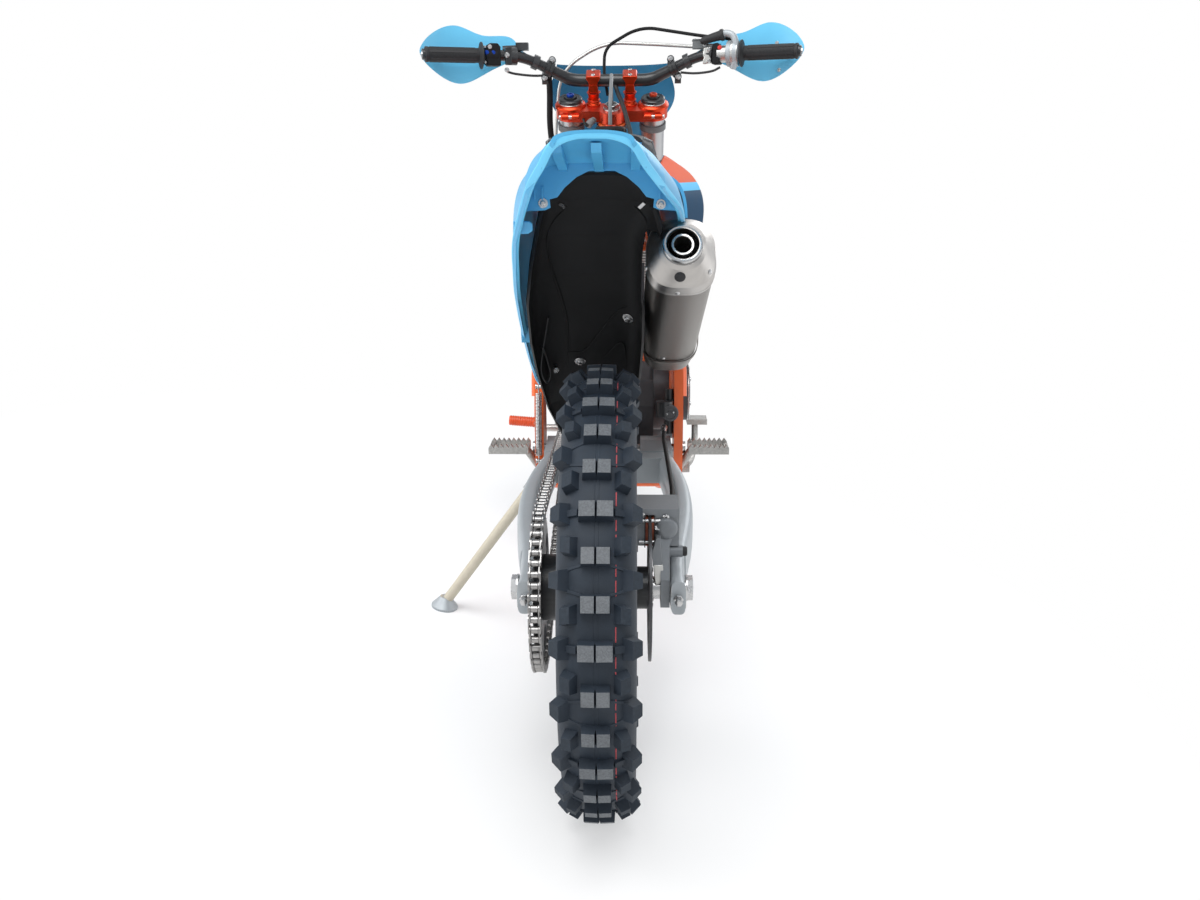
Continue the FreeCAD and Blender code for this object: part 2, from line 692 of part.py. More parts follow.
def inner_fender_part():
    """The dark liner over the rear wheel, from the tail down to the swingarm."""
    stations = [(-80, 949, 0, 74, 44, 0, 3.0), (-30, 918, 0, 84, 50, 22, 3.4),
                (30, 868, -17, 81, 60, 36, 4.0), (90, 806, -23, 86, 60, 44, 4.0),
                (150, 734, -24, 87, 56, 48, 4.0), (210, 664, -24, 84, 46, 52, 4.0),
                (300, 566, -24, 76, 24, 58, 4.0), (368, 480, -10, 66, 14, 66, 4.0)]
    wires = []
    for y, z, x, w, drop, tilt, power in stations:
        wire = arch_section(y, z, w, drop, PANEL_T, tilt, power)
        wire.translate(V(x, 0, 0))
        wires.append(wire)
    return loft(wires, True).cut(silencer_solid(SILENCER_CLEAR))


def radiators_part():
    """Two cores beside the down tube, each on two lugs."""
    core = to_steer(Part.makeBox(100, 32, 210, V(38, -130, 796)))
    lugs = []
    for along in (840, 960):
        inner = steer_point(42, -114, along)
        lugs.append(rod(inner, V(0, inner.y - 42, inner.z - 4), 7))
    one = fuse([core] + lugs).cut(down_tube(SEAT_GAP))
    one = sorted(one.Solids, key=lambda piece: piece.Volume)[-1]
    return both(one)


def shroud_right():
    """A panel that stands off the tank and bolts to the radiator."""
    rows = [(650, (98, 945), (132, 915), (140, 850)), (760, (112, 970), (178, 925), (186, 800)),
            (880, (118, 975), (194, 900), (188, 770)), (985, (120, 945), (188, 860), (176, 755)),
            (1060, (130, 880), (170, 820), (164, 745))]
    wires = []
    for y, *points in rows:
        outer = [mid(x, y, z) for x, z in points]
        wires.append(sheet_section(outer, [p - V(PANEL_T, 0, PANEL_T) for p in outer]))
    panel = loft(wires, True)
    stub = rod(steer_point(138 + SEAT_GAP, -114, 985), steer_point(170, -114, 985), 9)
    return fuse([panel, stub])


def chain_loop():
    """Points one link apart along the chain, each with its outward direction."""
    rear_r = CHAIN_PITCH / 2 / math.sin(math.pi / REAR_TEETH)
    front_r = CHAIN_PITCH / 2 / math.sin(math.pi / FRONT_TEETH)
    rear = (0.0, REAR_AXLE_Z, rear_r)
    small = (fore(FRONT_SPROCKET_Y), FRONT_SPROCKET_Z, front_r)
    dy, dz = small[0] - rear[0], small[1] - rear[1]
    heading = math.atan2(dz, dy)
    off = math.acos((rear_r - front_r) / math.hypot(dy, dz))
    run = math.hypot(dy, dz) * math.sin(off)
    legs = [(rear, heading + off, 2 * (math.pi - off) * rear_r, True), (rear, heading - off, run, False),
            (small, heading - off, 2 * off * front_r, True), (small, heading + off, run, False)]
    total = sum(leg[2] for leg in legs)
    count = 2 * round(total / (2 * CHAIN_PITCH))
    found = []
    for k in range(count):
        at = total * k / count
        for (cy, cz, r), turn, length, bent in legs:
            if at < length:
                break
            at -= length
        if bent:
            turn, at = turn + at / r, 0.0
        out_y, out_z = math.cos(turn), math.sin(turn)
        found.append((cy + r * out_y - at * out_z, cz + r * out_z + at * out_y, out_y, out_z))
    return found


def chain_part():
    """One loop round both sprockets, waisted between its links."""
    loop = chain_loop()

    def edge(side):
        points = []
        for k, (y, z, out_y, out_z) in enumerate(loop):
            reach = side * (CHAIN_H / 2 - (CHAIN_WAIST if k % 2 else 0.0))
            points.append(V(CHAIN_X - CHAIN_W / 2, y + reach * out_y, z + reach * out_z))
        return Part.Face(Part.makePolygon(points + points[:1]))
    outer, inner = edge(1), edge(-1)
    return outer.cut(inner).extrude(V(CHAIN_W, 0, 0))


def toothed_rail(x0, x1, y, z, thick):
    """A rail along the bike's width with a saw edge on top."""
    step = (x1 - x0) / PEG_TEETH
    points = [V(x0, y, z)]
    for k in range(PEG_TEETH):
        points.append(V(x0 + step * k, y, z + 13))
        points.append(V(x0 + step * (k + 0.5), y, z + 20))
    points += [V(x1, y, z + 13), V(x1, y, z), V(x0, y, z)]
    return Part.Face(Part.makePolygon(points)).extrude(V(0, thick, 0))


def footpegs_part():
    """Each peg is an open frame whose two rails are toothed."""
    arm = rod(V(-PLATE_OUT + 10, 594, 345), V(-170, 560, 404), 8)
    arm = arm.cut(box((-PLATE_OUT - 0.3, 0), (500, 700), (300, 500)))
    rails = [toothed_rail(-240, -160, y, 400, 8) for y in (522, 570)]
    ends = [box((x, x + 8), (522, 578), (400, 412)) for x in (-240, -168)]
    one = fuse([arm] + rails + ends)
    return both(one)


def shift_lever_part():
    shaft = tube_x(-156, -82.3, fore(732), 400, 8)
    arm = pipe([mid(-150, 732, 400), mid(-158, 780, 392), mid(-174, 840, 385)], 6)
    return fuse([shaft, arm, rod(mid(-174, 840, 385), mid(-234, 840, 390), 9)])


def brake_pedal_part():
    arm = pipe([V(PLATE_OUT + 9, 624, 344), mid(176, 680, 344), mid(186, 740, 372), mid(188, 780, 404)], 7)
    pin = tube_x(PLATE_OUT + 0.3, PLATE_OUT + 18, 624, 344, 12)
    return fuse([arm, pin, box((170, 214), (fore(780) - 20, fore(780) + 20), (400, 412))])


def rear_caliper_part():
    """The caliper straddles the disc above the axle, on an arm round the axle."""
    z = REAR_AXLE_Z
    body = box((52, 116), (12, 82), (z + 63, z + 121))
    ear = rod(V(96, 18, z + 52), V(122, 18, z + 52), 9)
    slot = box((REAR_DISC_X - 7, REAR_DISC_X + 7), (0, 100), (z + 60, z + 112))
    outline = [(-24, -22), (26, -22), (60, 20), (66, 90), (14, 90), (-24, 22)]
    bracket = slab([(y, z + up) for y, up in outline], 88, 101.7)
    hole = tube_x(60, 130, 0, REAR_AXLE_Z, REAR_AXLE_R + BORE_CLEARANCE)
    return fuse([body.cut(slot), bracket, ear]).cut(hole)


def hex_x(x0, x1, y, z, r):
    """A hexagon across the bike, with its corners at a radius."""
    corners = [(y + r * math.cos(math.pi * k / 3), z + r * math.sin(math.pi * k / 3)) for k in range(6)]
    return slab(corners, x0, x1)


def rear_axle_part():
    shaft = tube_x(-REAR_AXLE_HALF, REAR_AXLE_HALF, 0, REAR_AXLE_Z, REAR_AXLE_R)
    washer = tube_x(SWINGARM_REAR_X + 12.3, SWINGARM_REAR_X + 15, 0, REAR_AXLE_Z, 20)
    nut = hex_x(SWINGARM_REAR_X + 15, REAR_AXLE_NUT_END, 0, REAR_AXLE_Z, 19)
    right_spacer = tube_x(REAR_DISC_X + DISC_T / 2 + 2, 87.7, 0, REAR_AXLE_Z, 17)
    left_spacer = tube_x(-101.7, -REAR_HUB_LEFT - 1, 0, REAR_AXLE_Z, 17)
    whole = fuse([shaft, washer, nut, mirror(washer), mirror(nut), right_spacer, left_spacer])
    return whole.cut(tube_x(-200, 200, 0, REAR_AXLE_Z, REAR_AXLE_BORE_R))


def airbox_part():
    body = box((-52, 60), (310, 500), (600, 846))
    shelf = box((-66, 66), (330, 480), (846, 880))
    whole = fuse([body, shelf]).cut(top_rail(SEAT_GAP)).cut(mirror(top_rail(SEAT_GAP)))
    return sorted(whole.Solids, key=lambda piece: piece.Volume)[-1].cut(seat_part())


# Steering assembly, drawn along the steering axis

def clamps_part():
    def clamp(z, t, r):
        rings = [Part.makeCylinder(r, t, V(s * FORK_HALF, CLAMP_OFFSET, z)) for s in (-1, 1)]
        web = Part.makeBox(2 * FORK_HALF, 44, t, V(-FORK_HALF, CLAMP_OFFSET - 34, z))
        boss = Part.makeCylinder(30, t, V(0, 0, z))
        holes = [Part.makeCylinder(FORK_OUTER_R, t, V(s * FORK_HALF, CLAMP_OFFSET, z)) for s in (-1, 1)]
        return fuse([web, boss] + rings).cut(Part.makeCompound(holes))
    top = clamp(TOP_CLAMP_Z, TOP_CLAMP_T, 34)
    low = clamp(LOW_CLAMP_Z, LOW_CLAMP_T, 37)
    stem = Part.makeCylinder(STEM_R, TOP_CLAMP_Z - LOW_CLAMP_Z, V(0, 0, LOW_CLAMP_Z))
    whole = fuse([top, low, stem])
    hollow = Part.makeCylinder(STEM_BORE_R, 120, V(0, 0, TOP_CLAMP_Z - 60))
    return to_steer(whole.cut(hollow))


def fork_outers_part():
    foot = V(FORK_HALF, CLAMP_OFFSET, FORK_OUTER_END)
    one = Part.makeCylinder(FORK_OUTER_R, FORK_TOP - FORK_OUTER_END, foot)
    return to_steer(both(one))


def fork_inners_part():
    low = AXLE_ALONG + 40
    one = Part.makeCylinder(FORK_INNER_R, FORK_OUTER_END - low, V(FORK_HALF, CLAMP_OFFSET, low))
    return to_steer(both(one))


def fork_feet_part():
    z = AXLE_ALONG
    body = Part.makeCylinder(28, 60, V(FORK_HALF, CLAMP_OFFSET, z - 20))
    lug = Part.makeBox(34, AXLE_AHEAD - CLAMP_OFFSET + 4, 46, V(FORK_HALF - 17, CLAMP_OFFSET, z - 23))
    end = Part.makeCylinder(23, 34, V(FORK_HALF - 17, AXLE_AHEAD, z), V(1, 0, 0))
    hole = Part.makeCylinder(FRONT_AXLE_R + BORE_CLEARANCE, 200, V(20, AXLE_AHEAD, z), V(1, 0, 0))
    return to_steer(both(fuse([body, lug, end]).cut(hole)))


def front_axle_part():
    half = FORK_HALF + 22
    shaft = tube_x(-half, half, WHEELBASE, FRONT_AXLE_Z, FRONT_AXLE_R)
    right = tube_x(FRONT_HUB_RIGHT + 1, FORK_HALF - 17.3, WHEELBASE, FRONT_AXLE_Z, 16)
    left = tube_x(-FORK_HALF + 17.3, FRONT_DISC_X - DISC_T / 2 - 1, WHEELBASE, FRONT_AXLE_Z, 16)
    whole = fuse([shaft, right, left])
    return whole.cut(tube_x(-200, 200, WHEELBASE, FRONT_AXLE_Z, FRONT_AXLE_BORE_R))


def handlebar_part(extra=0.0):
    right = [BAR_CENTRE, BAR_KNEE_1, BAR_KNEE_2, BAR_END]
    left = [V(-p.x, p.y, p.z) for p in right[:0:-1]]
    bar = pipe(left + right[1:], BAR_TUBE_R + extra, 0.3)
    thick = rod(BAR_CENTRE - V(57, 0, 0), BAR_CENTRE + V(57, 0, 0), BAR_R - SEAT_GAP + extra)
    return fuse([bar, thick])


def bar_mounts_part():
    """Two clamps, each a post with a ring round the bar."""
    made = []
    for side in (-1, 1):
        x = side * BAR_CLAMP_X
        height = BAR_ALONG - TOP_CLAMP_Z - TOP_CLAMP_T
        post = Part.makeCylinder(15, height, V(x, BAR_AHEAD, TOP_CLAMP_Z + TOP_CLAMP_T))
        ring = Part.makeCylinder(24, 28, V(x - 14, BAR_AHEAD, BAR_ALONG), V(1, 0, 0))
        hole = Part.makeCylinder(BAR_R, 60, V(x - 30, BAR_AHEAD, BAR_ALONG), V(1, 0, 0))
        made.append(to_steer(post.fuse(ring).cut(hole)))
    return Part.makeCompound(made)


def grips_part():
    d = (BAR_END - BAR_KNEE_2).normalize()
    end = BAR_END - d * 4
    root = end - d * GRIP_LENGTH
    grip = rod(root, end, GRIP_R)
    flange = rod(root, root + d * 5, 29)
    one = fuse([grip, flange]).cut(rod(root - d * 20, end + d * 20, BAR_TUBE_R + BORE_CLEARANCE))
    return both(one)


def hand_guards_part():
    """Teardrop shields ahead of the grips, each on an arm from the bar."""
    outline = [front(424, 614, 1208), front(400, 586, 1242), front(350, 556, 1260), front(290, 540, 1240),
               front(222, 530, 1230), front(212, 530, 1208), front(262, 538, 1172),
               front(345, 558, 1136), front(398, 588, 1160)]
    face = Part.makeFilledFace(closed_curve(outline, 1).Edges)
    shield = face.extrude(V(0, PANEL_T, 0))
    arm = rod(front(172, 563, 1180), front(220, 529, 1210), 6).cut(handlebar_part(SEAT_GAP))
    collar = rod(front(166, 561, 1177.5), front(178, 564, 1182.5), 16).cut(handlebar_part(SEAT_GAP))
    arm = sorted(arm.Solids, key=lambda piece: piece.Volume)[-1]
    return both(fuse([shield, arm, collar]))


def front_fender_part():
    """A long arched shell with a block under the lower clamp."""
    stations = [(470, 818, 46, 22), (370, 838, 36, 30), (220, 850, 32, 34), (40, 832, 36, 30),
                (-120, 786, 52, 18)]
    shell = loft([arch_section(STEER_GROUND_Y - back, z, FORK_HALF - inset, drop, PANEL_T, 0, 3)
                  for back, z, inset, drop in stations])
    block = to_steer(Part.makeBox(64, 56, 40, V(-32, 2, LOW_CLAMP_Z - 40 - SEAT_GAP)))
    return fuse([shell, block])


def mask_part():
    """The number mask, strapped to both fork tubes."""
    rows = [(985, -12, 384), (1063, 26, 388), (1104, 52, 394), (1150, 46, 404), (1184, 34, 414)]
    wires = []
    for z, more, back in rows:
        w = FORK_HALF + more
        outer = [front(-w, back + 50, z), front(-w * 0.62, back + 12, z), front(0, back, z),
                 front(w * 0.62, back + 12, z), front(w, back + 50, z)]
        inner = [p - V(0, PANEL_T, 0) for p in outer]
        wires.append(sheet_section(outer, inner))
    shell = loft(wires)
    straps = []
    for along in (1060, 1150):
        for side in (-1, 1):
            x = side * FORK_HALF
            band = Part.makeCylinder(FORK_OUTER_R + 4, 14, V(x, CLAMP_OFFSET, along))
            band = band.cut(Part.makeCylinder(FORK_OUTER_R + SEAT_GAP, 14, V(x, CLAMP_OFFSET, along)))
            straps.append(to_steer(band))
            strap = steer_point(x, CLAMP_OFFSET + FORK_OUTER_R + 2.6, along + 7)
            behind = 402 if along > 1100 else 398
            straps.append(rod(strap, front(side * (FORK_HALF - 22), behind, strap.z + 12), 5))
    return fuse([shell] + straps)


def ring_on_bar(x0, x1, r, side):
    """A collar round the bar's outer run, between two positions along X."""
    run = (BAR_END - BAR_KNEE_2).normalize()

    def at(x):
        p = BAR_KNEE_2 + run * ((x - BAR_KNEE_2.x) / run.x)
        return V(side * p.x, p.y, p.z)
    return rod(at(x0), at(x1), r).cut(handlebar_part(SEAT_GAP))


def lever_set(side):
    """A perch with its reservoir and a lever ahead of the grip."""
    ring = ring_on_bar(214, 228, 19, side)
    block = rod(front(side * 206, 555, 1208), front(side * 246, 562, 1206), 10)
    blade = pipe([front(side * 240, 556, 1204), front(side * 300, 565, 1196),
                  front(side * 396, 602, 1192)], 5)
    return fuse([ring, block, blade]).cut(handlebar_part(SEAT_GAP))


def brake_lever_part():
    tank = box((184, 216), (STEER_GROUND_Y - 568, STEER_GROUND_Y - 544), (1206, 1224))
    return fuse([lever_set(1), tank])


def clutch_lever_part():
    tank = box((-216, -188), (STEER_GROUND_Y - 568, STEER_GROUND_Y - 546), (1206, 1222))
    return fuse([lever_set(-1), tank])


def throttle_part():
    """The twistgrip's housing and the bar's switch block on the right."""
    return fuse([ring_on_bar(262, 284, 27, 1), ring_on_bar(240, 258, 18, 1)])


def switch_part():
    return ring_on_bar(258, 282, 20, -1)


def throttle_cable_part():
    """From the throttle over the bar and down behind the steering head."""
    return pipe([front(270, 590, 1222.4), front(204, 576, 1231), front(65, 528, 1258),
                 front(-16, 510, 1215), front(-18, 516, 1160), front(-9, 528, 1110)], 3.6)


def front_brake_hose_part():
    """From the brake lever across in front of the bar and down the left leg."""
    return pipe([front(196, 539.4, 1212), front(110, 500, 1222), front(-20, 462, 1232),
                 front(-FORK_HALF - 26, 468, 1170), front(-FORK_HALF - 44, 440, 1000),
                 front(-FORK_HALF - 42, 290, 690),
                 front(-FORK_HALF - 40, 170, 450), front(-FORK_HALF - 8, 138, 420)], 4)


def cable_sleeve_part():
    beside = FORK_HALF + 47
    return pipe([front(-beside, 554, 1150), front(-beside, 530, 1120), front(-beside - 3, 516, 1040),
                 front(-beside + 9, 480, 940)], 7)


def breather_part():
    """From the tank cap up and over into the hollow steering stem."""
    return pipe([mid(0, 849, 1034.3), mid(0, 846, 1080), mid(2, 930, 1138), steer_point(0, 0, 1290),
                 steer_point(0, 0, 1200)], 4)


def front_caliper_part():
    """Straddles the disc behind the left fork foot."""
    x = FRONT_DISC_X
    block = Part.makeBox(44, 72, 84, V(x - 26, AXLE_AHEAD - 146, AXLE_ALONG + 18))
    slot = Part.makeBox(14, 70, 120, V(x - 7, AXLE_AHEAD - 138, AXLE_ALONG))
    arm = Part.makeBox(20, 60, 30, V(-FORK_HALF + 6, AXLE_AHEAD - 90, AXLE_ALONG + 44))
    leg = Part.makeCylinder(FORK_INNER_R + SEAT_GAP, 400, V(-FORK_HALF, CLAMP_OFFSET, AXLE_ALONG))
    return to_steer(fuse([block, arm]).cut(slot).cut(leg))


def rear_hose_part():
    """From the master cylinder along the swingarm to the rear caliper."""
    return pipe([V(112, 545, 452), V(108, 480, 446), V(112, 300, 436), V(112, 150, REAR_AXLE_Z + 104),
                 V(106, 82.7, REAR_AXLE_Z + 98)], 4)


def master_cylinder_part():
    """Upright on the right, on the frame plate, with its round reservoir."""
    body = rod(V(122, 575, 430), V(122, 585, 520), 9)
    cup = rod(V(112, 560, 470), V(112, 562, 500), 17)
    pad = box((118, PLATE_IN - SEAT_GAP), (574, 592), (455, 500))
    return fuse([body, cup, pad])


def side_stand_part():
    n = V(math.sin(LEAN), 0, math.cos(LEAN))
    sole = V(STAND_FOOT.x, STAND_FOOT.y, -STAND_FOOT.x * math.tan(LEAN))
    pad = fuse([rod(sole, sole + n * 5, STAND_FOOT_R), cone(sole + n * 5, sole + n * 13, STAND_FOOT_R, 20),
                cone(sole + n * 13, sole + n * 24, 20, 12)])
    d = (STAND_PIVOT - sole).normalize()
    leg = rod(sole + n * 10, STAND_PIVOT - d * 14, STAND_LEG_R)
    eye = rod(STAND_PIVOT - STAND_AXIS * 8, STAND_PIVOT + STAND_AXIS * 8, 17)
    hole = rod(STAND_PIVOT - STAND_AXIS * 30, STAND_PIVOT + STAND_AXIS * 30, STAND_PIN_R + BORE_CLEARANCE)
    return fuse([pad, leg, eye]).cut(hole)


def stand_axis():
    sole = V(STAND_FOOT.x, STAND_FOOT.y, -STAND_FOOT.x * math.tan(LEAN))
    down = (sole - STAND_PIVOT).normalize()
    folded = V(-0.13, -0.985, 0.06).normalize()
    return folded.cross(down).normalize()


STAND_AXIS = stand_axis()


def stand_bracket_part():
    """A cheek beside the frame plate with the pin that the stand turns on."""
    pin = rod(STAND_PIVOT - STAND_AXIS * 9, STAND_PIVOT + STAND_AXIS * 20, STAND_PIN_R)
    washer = rod(STAND_PIVOT - STAND_AXIS * 9, STAND_PIVOT - STAND_AXIS * 13, 12)
    root = STAND_PIVOT + STAND_AXIS * 16
    cheek = rod(root, root + STAND_AXIS * 8, 18)
    arm = rod(root + STAND_AXIS * 8, V(-PLATE_OUT + 9, 566, 337), 8)
    pad = box((-PLATE_OUT, -PLATE_IN), (545, 590), (318, 356)).cut(pivot_plate())
    pad = sorted(pad.Solids, key=lambda piece: piece.BoundBox.YMin)[0]
    return fuse([pin, washer, cheek, arm, pad]).cut(pivot_plate())


PARTS = {
    "frame": frame_part,
    "subframe": subframe_part,
    "engine": engine_part,
    "engine_covers": engine_covers_part,
    "exhaust_header": header_part,
    "silencer": silencer_part,
    "swingarm": swingarm_part,
    "pivot_bolt": pivot_bolt_part,
    "rear_shock": shock_part,
    "fuel_tank": tank_part,
    "seat": seat_part,
    "rear_fender": rear_fender_part,
    "side_panels": side_panels_part,
    "inner_fender": inner_fender_part,
    "radiators": radiators_part,
    "radiator_shrouds": lambda: both(shroud_right()),
    "chain": chain_part,
    "footpegs": footpegs_part,
    "shift_lever": shift_lever_part,
    "brake_pedal": brake_pedal_part,
    "rear_caliper": rear_caliper_part,
    "rear_axle": rear_axle_part,
    "airbox": airbox_part,
    "stand_bracket": stand_bracket_part,
    "triple_clamps": clamps_part,
    "fork_outer_tubes": fork_outers_part,
    "fork_stanchions": fork_inners_part,
    "fork_feet": fork_feet_part,
    "front_axle": front_axle_part,
    "handlebar": handlebar_part,
    "bar_mounts": bar_mounts_part,
    "grips": grips_part,
    "hand_guards": hand_guards_part,
    "front_fender": front_fender_part,
    "headlight_mask": mask_part,
    "brake_lever": brake_lever_part,
    "clutch_lever": clutch_lever_part,
    "throttle": throttle_part,
    "bar_switch": switch_part,
    "throttle_cable": throttle_cable_part,
    "front_brake_hose": front_brake_hose_part,
    "cable_sleeve": cable_sleeve_part,
    "front_caliper": front_caliper_part,
    "tank_breather": breather_part,
    "rear_brake_hose": rear_hose_part,
    "master_cylinder": master_cylinder_part,
    "side_stand": side_stand_part,
    "rear_tyre": rear_tyre_part,
    "rear_rim": lambda: rim(0, REAR_AXLE_Z, REAR_RIM_R, REAR_RIM_W),
    "rear_hub": lambda: hub(0, REAR_AXLE_Z, REAR_HUB_LEFT, REAR_DISC_X - DISC_T / 2 - SEAT_GAP, REAR_HUB_R,
                            REAR_FLANGE_X, REAR_FLANGE_R, 26, REAR_AXLE_R + BORE_CLEARANCE),
    "rear_spokes": lambda: spokes(0, REAR_AXLE_Z, REAR_FLANGE_X, REAR_FLANGE_R, REAR_RIM_R - RIM_DEPTH + 2),
    "rear_disc": lambda: disc(0, REAR_AXLE_Z, REAR_DISC_X, REAR_DISC_R, 22),
    "rear_sprocket": sprocket,
    "front_tyre": front_tyre_part,
    "front_rim": lambda: rim(WHEELBASE, FRONT_AXLE_Z, FRONT_RIM_R, FRONT_RIM_W),
    "front_hub": lambda: hub(WHEELBASE, FRONT_AXLE_Z, -FRONT_DISC_X - DISC_T / 2 - SEAT_GAP, FRONT_HUB_RIGHT,
                             FRONT_HUB_R, FRONT_FLANGE_X, FRONT_FLANGE_R, 20, FRONT_AXLE_R + BORE_CLEARANCE),
    "front_spokes": lambda: spokes(WHEELBASE, FRONT_AXLE_Z, FRONT_FLANGE_X, FRONT_FLANGE_R,
                                   FRONT_RIM_R - RIM_DEPTH + 2),
    "front_disc": lambda: disc(WHEELBASE, FRONT_AXLE_Z, FRONT_DISC_X, FRONT_DISC_R, 20, 8),
}


def place(shapes):
    """Leans the bike onto its stand and sets the origin below its middle."""
    for shape in shapes.values():
        shape.rotate(V(0, 0, 0), V(0, 1, 0), -LEAN_DEG)
    bounds = FreeCAD.BoundBox()
    for shape in shapes.values():
        bounds.add(shape.optimalBoundingBox(False))
    shift = V(-(bounds.XMin + bounds.XMax) / 2, -(bounds.YMin + bounds.YMax) / 2, -bounds.ZMin)
    for shape in shapes.values():
        shape.translate(shift)
    return shift


def make_all():
    shapes = {name: make() for name, make in PARTS.items()}
    shift = place(shapes)
    return shapes, shift


def main():
    os.makedirs("parts", exist_ok=True)
    shapes, shift = make_all()
    for name, shape in shapes.items():
        shape.exportStep(f"parts/{name}.step")
        litres = shape.Volume / 1e6
        print(f"{name:18s} solids {len(shape.Solids)} litres {litres:8.3f} valid {shape.isValid()}")
    print("shift", shift)


if __name__ == "__main__":
    main()
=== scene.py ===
import json
import math

import bpy
import numpy as np
from mathutils import Matrix, Vector
from mathutils.bvhtree import BVHTree


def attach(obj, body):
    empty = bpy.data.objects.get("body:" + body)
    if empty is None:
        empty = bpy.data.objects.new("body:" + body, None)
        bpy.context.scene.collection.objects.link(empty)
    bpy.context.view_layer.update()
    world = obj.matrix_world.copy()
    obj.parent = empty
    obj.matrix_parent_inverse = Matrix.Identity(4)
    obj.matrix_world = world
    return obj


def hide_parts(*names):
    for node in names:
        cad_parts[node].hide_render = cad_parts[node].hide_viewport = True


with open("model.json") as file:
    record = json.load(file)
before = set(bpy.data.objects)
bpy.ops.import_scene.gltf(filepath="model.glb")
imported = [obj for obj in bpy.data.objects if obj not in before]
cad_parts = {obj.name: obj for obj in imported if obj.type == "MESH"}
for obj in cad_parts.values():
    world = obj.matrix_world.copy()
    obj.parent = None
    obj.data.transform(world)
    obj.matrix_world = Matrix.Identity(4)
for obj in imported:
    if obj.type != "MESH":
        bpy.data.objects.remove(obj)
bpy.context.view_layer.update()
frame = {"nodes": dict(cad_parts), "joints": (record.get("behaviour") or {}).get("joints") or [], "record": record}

# Sizes of the bike in millimetres: X right, Y forward, Z up, upright
LEAN = math.radians(11)
RAKE = math.radians(26.5)
WHEELBASE = 1482.0
REAR_TYRE_R = 337.0
FRONT_TYRE_R = 348.0
REAR_CONTACT_X = 19.0
FRONT_CONTACT_X = 16.0
REAR_Z = REAR_TYRE_R + REAR_CONTACT_X * math.tan(LEAN)
FRONT_Z = FRONT_TYRE_R + FRONT_CONTACT_X * math.tan(LEAN)
TRAIL = 108.0
STEER_Y = WHEELBASE + TRAIL
FORK_HALF = 96.0
CLAMP_OFFSET = 22.0
TOP_CLAMP = (1180.0, 1206.0)
FORK_TOP = 1222.0
REAR_CENTRE = (0.0, REAR_Z)
FRONT_CENTRE = (WHEELBASE, FRONT_Z)
CHAIN_X = -92.0
CHAIN_PITCH = 15.875
REAR_TEETH = 48
FRONT_TEETH = 13
SMALL_SPROCKET = (660.0, 405.0)
STRAP_FRONT = 1118.0
GUARD_ARM_X = 205

# The camera, in the same millimetres, and the photograph it stands for
CAMERA_AT = (39.0, -1425.0, 962.0)
CAMERA_TURN = (-1.64, -15.85, -0.36)
FOCAL_PX = 1015.0
PHOTO_CENTRE = (600.0, 450.0)


def joint_point(name):
    """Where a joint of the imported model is, in metres."""
    for joint in frame["joints"]:
        if joint["name"] == name:
            return Vector(joint["pos_m"])
    raise KeyError(name)


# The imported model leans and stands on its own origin, so the rear wheel places it
LEANED = Matrix.Rotation(-LEAN, 3, "Y")
AXLE = LEANED.transposed() @ (joint_point("rear_wheel_spin") * 1000)
SHIFT = np.array([AXLE.x, AXLE.y, AXLE.z - REAR_Z])
TURN = np.array(LEANED)


def place(points):
    """Bike millimetres to world metres."""
    return ((np.asarray(points, float) + SHIFT) @ TURN.T) / 1000.0


def unplace(point):
    """World metres to bike millimetres."""
    return TURN.T @ (np.asarray(point, float) * 1000.0) - SHIFT


def unit(v):
    v = np.asarray(v, float)
    return v / np.linalg.norm(v)


def steer_point(x, forward, along):
    """A point given across, ahead of and up along the steering axis."""
    y = STEER_Y + forward * math.cos(RAKE) - along * math.sin(RAKE)
    z = forward * math.sin(RAKE) + along * math.cos(RAKE)
    return np.array([x, y, z])


STEER_UP = steer_point(0, 0, 1) - steer_point(0, 0, 0)
STEER_AHEAD = steer_point(0, 1, 0) - steer_point(0, 0, 0)
ACROSS = np.array([1.0, 0.0, 0.0])
BACK = np.array([0.0, -1.0, 0.0])
UP = np.array([0.0, 0.0, 1.0])


# Camera, fitted to the photograph

def camera_axes():
    yaw, pitch, roll = (math.radians(a) for a in CAMERA_TURN)
    ahead = np.array([math.sin(yaw) * math.cos(pitch), math.cos(yaw) * math.cos(pitch), math.sin(pitch)])
    level = np.array([math.cos(yaw), -math.sin(yaw), 0.0])
    up = np.cross(level, ahead)
    right = math.cos(roll) * level + math.sin(roll) * up
    up = -math.sin(roll) * level + math.cos(roll) * up
    return right, up, ahead


def sight(u, v):
    """Direction from the camera through a place in the photograph, in its pixels."""
    right, up, ahead = camera_axes()
    return unit(right * (u - PHOTO_CENTRE[0]) / FOCAL_PX - up * (v - PHOTO_CENTRE[1]) / FOCAL_PX + ahead)


def seen_at(u, v, y):
    """Where the line of sight through a pixel crosses a plane across the bike."""
    ray = sight(u, v)
    start = np.array(CAMERA_AT)
    return start + ray * (y - start[1]) / ray[1]


def seen_on(node, u, v):
    """Where the line of sight through a pixel meets a CAD node, and the way out of it."""
    mesh = frame["nodes"][node].data
    corners = [tuple(p.co) for p in mesh.vertices]
    tree = BVHTree.FromPolygons(corners, [tuple(f.vertices) for f in mesh.polygons])
    ray = sight(u, v)
    hit, normal, _, _ = tree.ray_cast(Vector(place(CAMERA_AT)), Vector(TURN @ ray))
    if hit is None:
        raise ValueError(f"nothing of {node} at {u}, {v}")
    out = TURN.T @ np.array(normal)
    if out @ ray > 0:
        out = -out
    return unplace(hit), unit(out)


